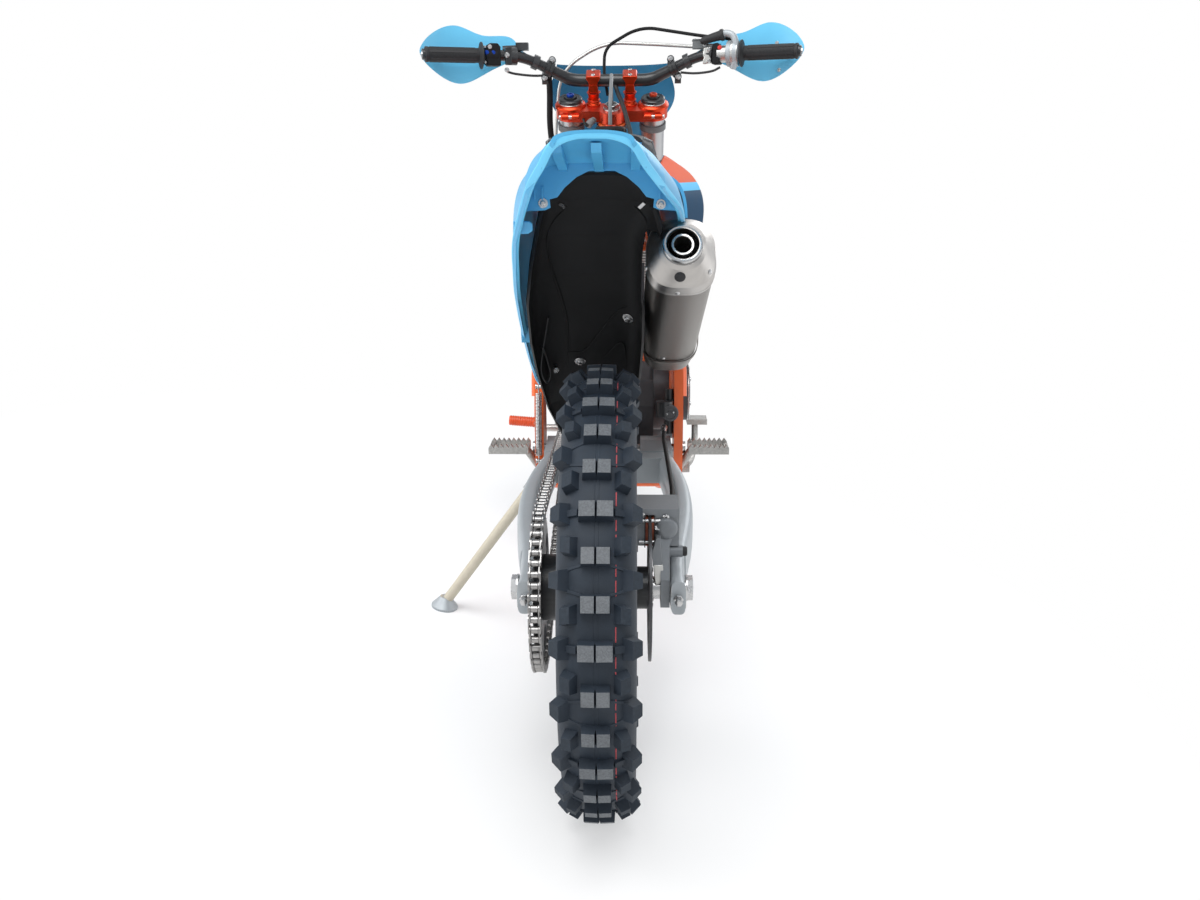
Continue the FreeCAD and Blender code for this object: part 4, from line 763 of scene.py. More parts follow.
def chain():
    """Plates in pairs, inner and outer by turns, with a roller on every pin."""
    pins = chain_places()
    plate_r, thick, inner_x, outer_x = 6.6, 1.4, 5.9, 7.6
    ends = [math.radians(a) for a in range(60, 301, 30)]
    near = [(plate_r * math.cos(a), plate_r * math.sin(a)) for a in ends]
    shape = Shape()
    for k, here in enumerate(pins):
        there = pins[(k + 1) % len(pins)]
        run, length = unit(there - here), np.linalg.norm(there - here)
        far = [(length - x, -y) for x, y in near]
        x = inner_x if k % 2 else outer_x
        for s in (-1, 1):
            origin = here + ACROSS * (s * (x + thick / 2) - thick / 2)
            prism(shape, near + far, origin, run, np.cross(ACROSS, run), thick)
        turned(shape, here, ACROSS, [(-5.2, 4.8), (-4.7, 5.3), (4.7, 5.3), (5.2, 4.8)], 12)
        turned(shape, here, ACROSS, [(-9.0, 2.0), (-8.7, 2.6), (8.7, 2.6), (9.0, 2.0)], 10, 1)
    piece = build("chain_links", shape, ["chain_steel", "steel"])
    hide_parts("chain")


# Tail and bodywork

def tail_edge():
    """The lower edge of the left panel, the tail and its right side, with the way in."""
    left = [(-104, 470, 780), (-110, 420, 688), (-116, 372, 608), (-121, 330, 588), (-127, 250, 644),
            (-127, 140, 712), (-124, 40, 776), (-119, -20, 814), (-109, -100, 868), (-82, -200, 931),
            (-62, -240, 961), (-47, -258, 983)]
    top = [(-24, -260, 993.5), (0, -260, 995), (24, -260, 993.5)]
    right = [(47, -258, 983), (62, -240, 961), (82, -200, 936), (106.5, -100, 906), (115, -20, 884)]
    line = curve_through(left + top + right, 7)
    middle = np.array([0.0, 0.0, 880.0])
    inward = []
    for p in line:
        way = (middle - p) * np.array([1.0, 0.0, 0.5])
        inward.append(unit(way) if abs(p[0]) > 8 else np.array([0.0, 0.0, -1.0]))
    return line, inward


def tail_rim():
    """The flange round the tail's open edge, in a lighter blue that paints a highlight on it."""
    line, inward = tail_edge()
    section = [(-0.8, -0.6), (-0.4, -1.4), (0.6, -1.7), (7.4, -1.7), (8.4, -1.2), (8.7, -0.2), (7.8, 0.9),
               (0.0, 0.9)]
    shape = Shape()
    sweep(shape, line, 1.0, outline=section, inward=inward)
    build("tail_rim", shape, "blue_rim", angle=60)


def panel_tabs():
    """Two tabs on the left panel's inner side, over the liner."""
    upper, lower = (516.0, 228, -112.0, 21, 17), (523.0, 335, 158.0, 15, 28)
    shape = Shape()
    for u, v, y, reach, height in (upper, lower):
        outline = [(-3, -height * 0.5), (reach * 0.7, -height * 0.5), (reach, -height * 0.25),
                   (reach, height * 0.3), (reach * 0.8, height * 0.5), (-3, height * 0.5)]
        prism(shape, outline, seen_at(u, v, y), ACROSS, unit(UP + BACK * 0.35), -3.0)
    build("panel_tabs", shape, "blue_plastic", bevel=0.8)


def tail_details():
    """Bolts through the tail's wall, and small moulded steps beside its ribs."""
    bolt_pixels = ((543, 203), (661, 204))
    bolts, shape = Shape(), Shape()
    for u, v in bolt_pixels:
        at, _ = seen_on("rear_fender", u, v)
        bolt(bolts, at, BACK, 3.6, washer=6.4)
    build("tail_bolts", bolts)
    half_gap, half_width = 5, 1.2
    for x in (-76, 84):
        for s in (-1, 1):
            middle = x + s * half_gap
            block(shape, (middle - half_width, middle + half_width), (-91.5, -88), (916, 932))
    build("tail_ribs", shape, "blue_plastic", bevel=0.5)


def liner_bolts():
    """Bolts, a clip and two slotted marks on the black liner."""
    wall = "inner_fender"
    bolt_pixels, clip_pixel = ((628, 318), (580, 361)), (555.5, 366)
    slot_pixels = ((562, 205, 1), (642, 205, -1))
    bolts = Shape()
    for u, v in bolt_pixels:
        at, out = seen_on(wall, u, v)
        bolt(bolts, at, out, 5.2, washer=9.0)
    at, out = seen_on(wall, *clip_pixel)
    turned(bolts, at, out + BACK, [(-2, 3.2), (9, 3.2), (9.5, 5.0, 6), (14, 5.0, 6), (14.5, 4)], 18)
    for u, v, s in slot_pixels:
        at, out = seen_on(wall, u, v)
        across = unit(np.cross(out, (s * 0.7, 0.0, 0.7)))
        rib(bolts, at - across * 7, at + across * 7, 4.5, 1.6, out)
    build("liner_bolts", bolts)


def liner_folds():
    """Folds moulded in the black liner, and a loop of wire on it."""
    folds = Shape()
    fold_pixels = [
        [(567, 207), (553, 222), (547, 240), (552, 268), (561, 295), (567, 318), (568, 340), (568, 368)],
        [(634, 206), (642, 214), (646, 221), (647, 228)],
        [(568, 352), (584, 350), (600, 332), (616, 312), (627, 306.5)],
        [(603, 358), (612, 349), (621, 342), (625, 349), (626, 368)],
    ]
    loop_pixels = [(547.5, 316), (541, 350), (539, 372), (545, 382), (549, 372), (543, 352), (540, 346)]
    thick = 1.7
    for pixels in fold_pixels:
        hits = [seen_on("inner_fender", u, v) for u, v in pixels]
        line = curve_through([at + out * 0.2 for at, out in hits], 6)
        shares = [0.08 + 0.84 * k / (len(line) - 1) for k in range(len(line))]
        sweep(folds, line, [thick * math.sin(math.pi * share) for share in shares], 8)
    hits = [seen_on("inner_fender", u, v) for u, v in loop_pixels]
    tube(folds, [at + out * 3.5 for at, out in hits], 1.5, 7, 8, 1)
    build("liner_folds", folds, ["black_plastic", "dark_steel"], angle=60)


# Exhaust

PIPE_FRONT = np.array([107.0, 345.0, 640.0])
PIPE_RUN = unit(np.array([111.0, -20.0, 838.0]) - PIPE_FRONT)


def silencer_end():
    """A bright lip round the outlet, the tube inside it and the rings of its baffle; the near-black back wall and
    the disc that closes the tube are soot and painted shade.
    """
    end = PIPE_FRONT + PIPE_RUN * 440
    lip, inside = Shape(), Shape()
    outer = [(9, 27.2), (13.5, 27.4), (16.2, 26.2), (16.8, 24.6), (16.2, 23.0), (13, 22.2), (2, 21.9),
             (1, 24)]
    inner = [(-22, 15.2), (12.0, 15.3), (13.4, 14.6), (13.4, 12.6), (12.6, 12.1), (-22, 12.0)]
    turned(lip, end, PIPE_RUN, outer, 64, hollow=True)
    turned(lip, end, PIPE_RUN, inner, 48, hollow=True)
    build("silencer_lip", lip)
    back_wall = [(-4.0, 22.4), (-3.0, 22.4), (-3.0, 14.9), (-4.0, 14.9)]
    # The disc closing the tube and the back wall are near black: soot and painted shade of the outlet's depth
    turned(inside, end, PIPE_RUN, [(-24, 13), (-20, 13)], 32, 1)
    turned(inside, end, PIPE_RUN, back_wall, 48, 1, hollow=True)
    for r, high in ((17.6, 3.0), (19.9, 5.5)):
        rings = [(-3.5, r), (high, r), (high + 0.8, r - 0.5), (high, r - 1.0), (-3.5, r - 1.0)]
        turned(inside, end, PIPE_RUN, rings, 48, hollow=True)
    build("silencer_baffle", inside, ["dark_steel", "soot_and_shade"])


def silencer_fixings():
    """A rubber plug in the silencer's side and the rivets of its cap."""
    plug_pixel, rivet_pixels = (680, 277), ((677.5, 293), (663, 358), (646.5, 268), (710, 272))
    rubber, rivets = Shape(), Shape()
    at, out = seen_on("silencer", *plug_pixel)
    turned(rubber, at, out, [(-2, 7.5), (0.5, 7.5), (1.6, 6.2), (2.2, 3.5)], 32)
    build("silencer_plug", rubber, "grip_rubber")
    for u, v in rivet_pixels:
        at, out = seen_on("silencer", u, v)
        turned(rivets, at, out, [(-1, 3.6), (0.6, 3.6), (1.6, 2.6), (2.0, 1.2)], 20)
    build("silencer_rivets", rivets)


def seam_band(name, along, grow, thick, look):
    """A thin strap round the silencer's rounded body."""
    half_x, half_z, power, depth, count = 46.5, 51.0, 2 / 3.0, 1.5, 64
    up = unit(np.cross(ACROSS, PIPE_RUN))
    verts, faces = [], []
    for lift, more in ((0, grow - depth), (0, grow), (thick, grow), (thick, grow - depth)):
        for k in range(count):
            t = 2 * math.pi * k / count
            a = (half_x + more) * math.copysign(abs(math.cos(t)) ** power, math.cos(t))
            b = (half_z + more) * math.copysign(abs(math.sin(t)) ** power, math.sin(t))
            verts.append(PIPE_FRONT + PIPE_RUN * (along + lift) + ACROSS * a + up * b)
    for i in range(4):
        for k in range(count):
            n = (k + 1) % count
            a, b = i * count, ((i + 1) % 4) * count
            faces.append((a + k, a + n, b + n, b + k))
    shape = Shape()
    shape.add(verts, faces)
    build(name, shape, look, angle=40)


def silencer_looks():
    """The end cap is brighter than the brushed and browned body."""
    cap_from = 407.5
    two_tone("silencer", "cap_metal", lambda p: (p - PIPE_FRONT) @ PIPE_RUN > cap_from)
    seam_band("silencer_seam", along=403.0, grow=1.6, thick=5.5, look="cap_metal")
    seam_band("silencer_strap", along=92.0, grow=1.4, thick=9.0, look="silencer_metal")


# Handlebar and controls

BAR_POINTS = [(413, 948, 1192), (300, 986.2, 1192), (228, 1010.5, 1192), (200, 1019.2, 1188.5),
              (172, 1027.6, 1179.3), (118, 1042.4, 1154.7), (91, 1048.7, 1144.2), (57, 1050, 1142)]
BAR_MIDDLE = (0.0, 1050.0, 1142.0)


def bar_point(x):
    """The bar's middle line at a distance across."""
    side = math.copysign(1.0, x)
    for a, b in zip(BAR_POINTS, BAR_POINTS[1:]):
        if b[0] <= abs(x) <= a[0]:
            t = (a[0] - abs(x)) / (a[0] - b[0])
            here = np.array(a, float) * (1 - t) + np.array(b, float) * t
            return here * [side, 1, 1], unit((np.array(a, float) - b) * [side, 1, 1])
    return BAR_MIDDLE + ACROSS * x, ACROSS * side


def handlebar():
    """A tapered bar with plugs in its ends."""
    right = [np.array(p, float) for p in BAR_POINTS]
    left = [p * [-1, 1, 1] for p in right]
    line = curve_through(left + [np.array(BAR_MIDDLE)] + right[::-1], 6)
    taper_x, taper_r = [95, 170], [14.0, 11.1]
    radii = [float(np.interp(abs(p[0]), taper_x, taper_r)) for p in line]
    shape = Shape()
    sweep(shape, line, radii, 28)
    piece = build("handlebar_tube", shape, "black_metal", body="steering", angle=60)
    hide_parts("handlebar")
    ends = Shape()
    plug, screw = [(-4, 12), (1.0, 12), (2.0, 11.0), (2.0, 5.5)], [(1.0, 5.2, 6), (4.4, 5.0, 6), (4.8, 3)]
    for s in (-1, 1):
        end, out = bar_point(s * BAR_POINTS[0][0])
        turned(ends, end, out, plug, 24)
        turned(ends, end, out, screw, 24, 1)
    build("bar_end_plugs", ends, ["black_metal", "steel"], body="steering")


def grips():
    """Ringed rubber with six ridges along it and a flange at the inner end."""
    end_x, first, last, pitch = 409, -119.0, -8, 3.1
    low_r, high_r, ridge_r, ridge_from, ridge_to = 15.2, 15.9, 15.4, 112, 10
    flange = [(-128, 14), (-128, 25), (-127.2, 28), (-125.5, 29), (-123.8, 28), (-122.6, 22), (-120.5, 17.6)]
    rings = flange[:]
    along = first
    while along < last:
        rings += [(along, low_r), (along + 0.5, high_r), (along + 1.6, high_r), (along + 2.1, low_r)]
        along += pitch
    rings += [(-6, 16.4), (-1.2, 16.6), (0, 15.4), (0, 12)]
    shape = Shape()
    for s in (-1, 1):
        end, out = bar_point(s * end_x)
        turned(shape, end, out, rings, 36)
        _, u, v = square_to(out)
        for k in range(6):
            a = math.radians(60.0 * k + 20)
            way = u * math.cos(a) + v * math.sin(a)
            foot = end + way * ridge_r
            rib(shape, foot - out * ridge_from, foot - out * ridge_to, 4.0, 0.9, way)
    piece = build("grip_rubbers", shape, "grip_rubber", body="steering", angle=40)
    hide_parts("grips")


def bar_clamps():
    """Rings that hold the hand guards, each with two bolts."""
    rings, bolts = Shape(), Shape()
    ring = [(-9, 12.5), (-9, 18), (-8, 19.5), (-1.2, 19.5), (-1.2, 18.2), (1.2, 18.2), (1.2, 19.5),
            (8, 19.5), (9, 18), (9, 12.5)]
    for s in (-1, 1):
        at, run = bar_point(s * 143)
        turned(rings, at, run, ring, 32)
        up = unit(np.cross(run, BACK) * -s)
        for lift in (-21, 21):
            ear = at + up * lift
            turned(rings, ear, BACK, [(-9, 7), (-8, 8), (8, 8), (9, 7)], 20)
            bolt(bolts, ear + BACK * 9, BACK, 4.6, washer=6.2, sides=20)
        arm_end = at + BACK * -20 + up * 6
        tube(rings, [at - BACK * 14, arm_end, at + np.array([s * 30, 34, 16])], 7, 6, 12)
        foot = at + up * -30 + ACROSS * s * -4
        turned(rings, foot, ACROSS * s, [(-7, 6), (7, 6)], 16)
    build("guard_clamps", rings, "black_metal", body="steering", bevel=0.4)
    build("guard_clamp_bolts", bolts, body="steering")


def bar_mounts():
    """Two T shaped clamps with a bolt in front of and behind the bar."""
    shape, bolts = Shape(), Shape()
    _, bar_y, bar_z = BAR_MIDDLE
    ahead = (bar_y - STEER_Y) * math.cos(RAKE) + bar_z * math.sin(RAKE)
    along = (STEER_Y - bar_y) * math.sin(RAKE) + bar_z * math.cos(RAKE)
    apart, bolt_reach, half_cap, half_saddle = 42, 14.5, 20, 19
    cap = [(-9, -3), (-11, 4), (-17, 13), (-15, 17), (15, 17), (17, 13), (11, 4), (9, -3)]
    saddle = [(-9.5, -3.2), (-11.5, -22), (11.5, -22), (9.5, -3.2)]
    pillar = [(-1, 17), (4, 17), (6, 13.5), (11, 12), (11, 15), (13, 15), (13, 12), (24, 13), (30, 16)]
    for s in (-1, 1):
        middle = steer_point(s * apart, ahead, along)
        prism(shape, cap, middle - STEER_AHEAD * half_cap, ACROSS, STEER_UP, -2 * half_cap)
        prism(shape, saddle, middle - STEER_AHEAD * half_saddle, ACROSS, STEER_UP, -2 * half_saddle)
        turned(shape, steer_point(s * apart, ahead, TOP_CLAMP[1]), STEER_UP, pillar, 28)
        for where in (-bolt_reach, bolt_reach):
            bolt(bolts, middle + STEER_AHEAD * where + STEER_UP * 17, STEER_UP, 4.6, sides=20)
    piece = build("bar_clamp_mounts", shape, "orange_anodised", body="steering", bevel=1.6, segments=3)
    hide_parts("bar_mounts")
    build("bar_mount_bolts", bolts, body="steering")


def top_clamp_details():
    """Pinch ears with bolts, collars round the fork's tubes, the stem's nut and the head's rings."""
    ears, bolts, nuts, rings = Shape(), Shape(), Shape(), Shape()
    low, high = TOP_CLAMP
    collar = [(-3, 36.5), (3, 36), (7, 32), (8, 28), (-3, 27.6)]
    stem_nut = [(-1, 20), (3, 20), (4, 19), (4, 17.5, 6), (12, 17, 6), (13, 14), (13, 11), (6, 10.5)]
    head_ring = [(-3.4, 32.4), (-2.8, 35.5), (2.4, 35.5), (3.2, 32.4)]
    for s in (-1, 1):
        middle = steer_point(s * FORK_HALF, CLAMP_OFFSET - 37, low + 14)
        for side in (-1, 1):
            turned(ears, middle + ACROSS * side * 3.5, ACROSS * side, [(0, 6.8), (17, 6.8), (18.5, 5.4)], 24)
        turned(bolts, middle - ACROSS * 5, ACROSS, [(0, 4.4), (10, 4.4)], 20)
        bolt(bolts, middle + ACROSS * s * 22, ACROSS * s, 5.0, sides=20)
        turned(ears, steer_point(s * FORK_HALF, CLAMP_OFFSET, high), STEER_UP, collar, 48, hollow=True)
    build("clamp_ears", ears, "orange_anodised", body="steering", bevel=1.4)
    build("clamp_bolts", bolts, body="steering")
    turned(nuts, steer_point(0, 0, high), STEER_UP, stem_nut, 36)
    build("stem_nut", nuts, body="steering")
    for along in (1160.5, 1169.0):
        turned(rings, steer_point(0, 0, along), STEER_UP, head_ring, 48)
    build("head_rings", rings)


def fork_caps():
    """Black caps with a dial in each, blue on the left and orange on the right."""
    caps, rims, dials = Shape(), Shape(), Shape()
    rim = [(-9, 28.2), (-6.4, 28.2), (-5.6, 27.4), (-6.4, 26.6), (-9, 26.6)]
    cap = [(-6.2, 27.7), (0.4, 27.7), (2.0, 26.2), (2.8, 24), (2.8, 19.5), (2.0, 19), (2.0, 15.5, 6),
           (5.5, 15, 6), (6.2, 12)]
    dial = [(4, 9.0), (10.5, 9.0), (11.5, 8.2), (11.5, 4.0), (10.4, 3.4)]
    for mark, s in enumerate((-1, 1)):
        top = steer_point(s * FORK_HALF, CLAMP_OFFSET, FORK_TOP)
        turned(rims, top, STEER_UP, rim, 48, hollow=True)
        turned(caps, top, STEER_UP, cap, 48)
        turned(dials, top, STEER_UP, dial, 12, mark)
    build("fork_caps", caps, "black_metal", body="steering")
    build("fork_cap_rims", rims, body="steering")
    build("fork_dials", dials, ["blue_anodised", "orange_anodised"], body="steering",
          bevel=0.5)


def bar_frame(x):
    """A place on the bar, the ways along and up from it, and the sign of a depth that faces back."""
    at, run = bar_point(x)
    up = unit(np.cross(run, BACK))
    up = up if up[2] > 0 else -up
    return at, run, up, 1 if np.cross(run, up) @ BACK > 0 else -1


def left_controls():
    """Switch block with two blue buttons and a silver one, and the clutch perch's bolts."""
    body, buttons, bolts, perch, wire = Shape(), Shape(), Shape(), Shape(), Shape()
    at, run, up, facing = bar_frame(-269)
    outline = [(-15, -22), (15, -22), (16, -6), (15, 20), (9, 25), (-9, 25), (-15, 18)]
    button = [(-2, 5.2), (2.0, 5.2), (3.4, 4.2), (3.8, 2)]
    prism(body, outline, at - BACK * 12, run, up, 30 * facing)
    for a, b, mark in ((-7, 5, 0), (7, 5, 0), (0, 17, 1)):
        turned(buttons, at + BACK * 17 + run * a + up * b, BACK, button, 20, mark)
    for b in (-15, 17):
        bolt(bolts, at + BACK * 17.5 + run * 11 + up * b, BACK, 2.6, sides=16)
    build("left_switch", body, "black_plastic", body="steering", bevel=2.5, segments=3)
    build("left_buttons", buttons, ["blue_anodised", "steel"], body="steering")
    perch_pixels, perch_outline = ((507, 55), (507, 70)), [(-7, -20), (7, -20), (8, 18), (-8, 18)]
    at, run = bar_point(-232)
    for u, v in perch_pixels:
        bolt(bolts, seen_at(u, v, at[1] - 21), BACK, 4.2, washer=5.5, sides=20)
    prism(perch, perch_outline, at + BACK * 8, run, up, 12 * facing)
    build("clutch_perch", perch, "black_metal", body="steering", bevel=2.0)
    build("left_bolts", bolts, body="steering")
    tube(wire, [(-233, 1000, 1158), (-215, 1006, 1154), (-180, 1018, 1151), (-150, 1030, 1152)], 2.6)
    build("switch_wire", wire, "grip_rubber", body="steering")


def throttle_details():
    """Throttle housing's rings with their curved guide, and the cable's rubber boot."""
    guide, boot = Shape(), Shape()
    tube(guide, [(271, 986, 1160), (275, 979, 1180), (276, 978, 1205), (270, 981, 1226), (257, 986, 1233),
                 (243, 992, 1231)], 7.5, 8, 18)
    at, run = bar_point(272)
    rings = [(-13, 20), (-12, 27.4), (-3, 28.2), (-2.4, 27), (2.4, 27), (3, 28.2), (11, 27.4), (12, 20)]
    turned(guide, at, run, rings, 40)
    build("throttle_guide", guide, "grey_aluminium", body="steering", angle=45)
    line = curve_through([(250, 989, 1231), (236, 994, 1228), (220, 999, 1224), (205, 1004, 1220),
                          (200, 1006, 1219)], 8)
    steps, radii = [0, 1, 4, 5, 24, 30], [11, 12.5, 12.5, 10.5, 8, 5]
    sweep(boot, line, np.interp(range(len(line)), steps, radii), 18)
    build("throttle_boot", boot, "grip_rubber", body="steering", angle=60)


def right_controls():
    """A switch block with its buttons, the brake lever's clamp, its reservoir's lid and a wire."""
    body, buttons, bolts, clamp, lid, wire = (Shape() for _ in range(6))
    at, run, up, facing = bar_frame(241)
    prism(body, [(-9, -22), (9, -22), (11, 14), (4, 23), (-8, 21)], at - BACK * 12, run, up, 28 * facing)
    build("right_switch", body, "black_plastic", body="steering", bevel=2.5, segments=3)
    turned(buttons, at + BACK * 16 + up * 12, BACK, [(-2, 5), (1.6, 5), (2.8, 4), (3.2, 2)], 24)
    turned(buttons, at + BACK * 16 - up * 6, BACK, [(-2, 7), (0.8, 6.6), (1.2, 5)], 3, 1)
    looks = ["red_button", "grey_rubber"]
    build("right_buttons", buttons, looks, body="steering", bevel=0.6)
    at, run = bar_point(217)
    outline = [(-9, -19), (9, -19), (9, -9), (6, -5), (8, 15), (-8, 15), (-6, -5), (-9, -9)]
    turned(clamp, at, run, [(-8, 14), (-7, 18), (7, 18), (8, 14)], 32)
    prism(clamp, outline, at + BACK * 6, run, up, 13 * facing)
    for lift in (-14, 10):
        bolt(bolts, at + BACK * 19 + up * lift, BACK, 4.2, sides=20)
    build("brake_perch", clamp, "bright_aluminium", body="steering", bevel=2.0)
    lid_top, pivot_pixel = 1226, (705, 45)
    block(lid, (182.5, 217.5), (1020.5, 1047.5), (lid_top - 3.5, lid_top))
    for x in (189, 211):
        bolt(bolts, (x, 1034, lid_top), UP, 2.4, sides=16)
    at, _ = seen_on("brake_lever", *pivot_pixel)
    turned(bolts, at, BACK, [(-1, 4.6), (1, 4.6), (1.4, 3.8)], 24)
    build("reservoir_lid", lid, "grey_rubber", body="steering", bevel=1.2)
    build("right_bolts", bolts, body="steering")
    tube(wire, [(244, 1000, 1164), (225, 1004, 1156), (190, 1016, 1153), (158, 1030, 1156)], 2.6)
    build("brake_wire", wire, "grip_rubber", body="steering")
    lid_x, lid_foot = (180, 220), 1203
    two_tone("brake_lever", "grey_rubber", lambda p: lid_x[0] < p[0] < lid_x[1] and p[2] > lid_foot)


def guard_rivets():
    """Rivets in the hand guards' shields."""
    rivet_pixels = ((439, 49), (777, 43), (779, 70))
    rivet = [(-1, 4.4), (0.8, 4.4), (1.8, 3.2), (1.8, 1.8, 6), (0.8, 1.6, 6)]
    bolts = Shape()
    for u, v in rivet_pixels:
        at, out = seen_on("hand_guards", u, v)
        turned(bolts, at, out, rivet, 20)
    build("guard_rivets", bolts, body="steering")


def filler_cap():
    """The tank's cap with grips round it and an orange ring."""
    cap, ring = Shape(), Shape()
    at = np.array([0.0, 848.5, 1030.0])
    grips_count, grip_r = 12, 32
    turned(cap, at, UP, [(-26, 33), (-2, 33), (2, 31), (4.5, 27), (5, 12), (5, 4)], 40)
    for k in range(grips_count):
        a = 2 * math.pi / grips_count * k
        way = np.array([math.cos(a), math.sin(a), 0])
        rib(cap, at + way * grip_r - UP * 24, at + way * grip_r - UP * 1, 7, 2.4, way)
    turned(ring, at, UP, [(4, 12.0), (6.6, 12.0), (7.2, 11), (7.2, 6.5), (5, 6.0)], 32)
    build("filler_cap", cap, "black_plastic", bevel=0.8)
    build("filler_ring", ring, "orange_anodised")


def wire_connector():
    """A grey connector beside the head, with a lead up to the clamp from each end."""
    plug, pipe = Shape(), Shape()
    low, high = np.array([-53.0, 1048.0, 1046.0]), np.array([-34.0, 1064.0, 1068.0])
    rings = [(-4, 5), (-4, 8.5), (13, 8.5), (14, 10), (22, 10), (23, 7.5), (33, 7.5), (33, 4)]
    turned(plug, low, high - low, rings, 16)
    under = TOP_CLAMP[0] + 3
    back = [low - unit(high - low) * 2, (-59, 1043, 1043), (-66, 1046, 1056), steer_point(-62, -8, under)]
    tube(plug, back, 2.8, mark=1)
    tube(plug, [high, (-30, 1068, 1073), steer_point(-36, 4, under)], 2.6, mark=1)
    build("wire_connector", plug, ["grey_rubber", "grip_rubber"], body="steering")
    vent = [(4, 1052, 1150), (12, 1040, 1120), (26, 1000, 1085), (42, 950, 1030), (46, 925, 1000)]
    tube(pipe, vent, 5.0, 10, 14)
    build("vent_pipe", pipe, "grip_rubber")


# Brakes, axle and swingarm

def rear_brake():
    """Pads, pins and bolts on the caliper, with rings and two small plates behind it."""
    pads, pins, arm, dark = Shape(), Shape(), Shape(), Shape()
    z = REAR_Z
    disc_x, gap, pad, backing = 72.0, 2.6, 4.0, 1.6
    plate_y, plate_depth = -16.0, 14.0
    for s in (-1, 1):
        faces = [disc_x + s * gap, disc_x + s * (gap + pad), disc_x + s * (gap + pad + backing)]
        block(pads, sorted(faces[:2]), (8, 74), (z + 64, z + 108))
        block(pads, sorted(faces[1:]), (6, 76), (z + 62, z + 111), 1)
    for lift in (70, 104):
        turned(pins, (58.0, 9.0, z + lift), ACROSS, [(-2, 3), (30, 3)], 14)
    turned(pins, (80.0, 8.5, z + 92), ACROSS, [(0, 6, 6), (6, 6, 6), (7, 5)], 18)
    for x, lift in ((96, 109), (60, 112)):
        bolt(pins, (x, 12, z + lift), BACK, 5.0, sides=20)
    turned(arm, (97.0, 10.0, z + 92), BACK, [(-3, 17), (4, 16.5), (6.5, 13.5), (7.2, 8)], 40)
    turned(arm, (97.0, 12.0, z + 74), BACK, [(-3, 9), (5, 8), (6, 5)], 24)
    upper_pixels = [(656, 538), (661, 538), (662, 567), (653, 567), (652, 552)]
    lower_pixels = [(653.5, 565), (663, 565), (664, 576), (660, 584), (655, 584), (654.3, 578)]
    for mark, pixels in enumerate((upper_pixels, lower_pixels)):
        corners = [seen_at(u, v, plate_y) for u, v in pixels]
        outline = [((p - corners[0])[0], (p - corners[0])[2]) for p in corners]
        prism(arm, outline, corners[0] + BACK * mark, ACROSS, UP, -plate_depth, mark)
    turned(dark, (122.0, 18.0, z + 52), ACROSS, [(-2, 7.5), (5, 7.5), (7, 6), (7, 3.6, 6), (4, 3.4, 6)], 24)
    turned(dark, (106.0, 82.7, z + 98), (0.05, 0.97, 0.09), [(-2, 8), (5, 8), (6, 6.2), (14, 6.2)], 20)
    build("brake_pads", pads, ["copper_pad", "dark_steel"], bevel=0.5)
    build("brake_pins", pins)
    build("caliper_body", arm, ["cast_grey", "bright_aluminium"], bevel=1.2, angle=50)
    build("caliper_boots", dark, "grip_rubber")


def hose_fittings():
    """The rear hose's metal ends, at the caliper and at the master cylinder."""
    at_caliper = [(-6, 4.6), (-6, 5.6), (16, 5.6), (17, 4.8, 6), (24, 4.8, 6), (25, 3.5)]
    at_cylinder = [(-8, 4.6), (-8, 5.6), (10, 5.6), (11, 6.4, 6), (20, 6.4, 6)]
    shape = Shape()
    turned(shape, (108.5, 112.0, REAR_Z + 101.5), (-0.12, -0.96, -0.18), at_caliper, 18)
    turned(shape, (109.5, 520.0, 449.5), (0.1, 0.98, 0.15), at_cylinder, 18)
    build("hose_fittings", shape)


def swingarm_details():
    """Chain adjusters in the arm's ends, axle blocks and a chain guide."""
    shape, guide, blocks = Shape(), Shape(), Shape()
    arm_x, arm_end, half_x, half_z = 114.0, -40.0, 11.7, 17
    screw = [(-2, 4), (12, 4), (12.5, 5.8, 6), (17, 5.8, 6), (17.5, 4.5)]
    for s in (-1, 1):
        x = s * arm_x
        nut(shape, (x, arm_end, REAR_Z), BACK, 7.5, 6)
        turned(shape, (x, arm_end, REAR_Z), BACK, screw, 18)
        block(blocks, (x - half_x, x + half_x), (-39.6, -34), (REAR_Z - half_z, REAR_Z + half_z))
    build("chain_adjusters", shape)
    build("axle_blocks", blocks, "bright_aluminium", bevel=1.5)
    outline = [(150, 300), (235, 316), (240, 296), (232, 262), (214, 252), (166, 244), (146, 262)]
    for x in (-109.0, -80.0):
        prism(guide, outline, (x, 0, 0), (0, 1, 0), UP, 5)
    block(guide, (-108, -76), (205, 240), (255, 262))
    build("chain_guide", guide, "black_plastic", bevel=1.5)


def stand_spring():
    """A coil between two pins, with a hook at each end."""
    shape = Shape()
    low, high = np.array([-141.0, 541.0, 392.0]), np.array([-139.0, 548.0, 520.0])
    coil(shape, low, high, 5.6, 1.25, 44, steps=12, sides=6)
    hook = [(0, 0), (5, 0), (12, 3), (16, -3), (11, -9)]
    for end, s in ((low, -1), (high, 1)):
        tube(shape, [end + UP * s * rise + BACK * back for rise, back in hook], 1.4, 6)
    pin = [(-8, 4), (6, 4), (7, 6), (9, 6)]
    for end, s in ((high, 1), (low, -1)):
        turned(shape, end + UP * 12 * s + ACROSS * 3 - BACK * 2, -ACROSS, pin, 16)
    build("stand_spring", shape)


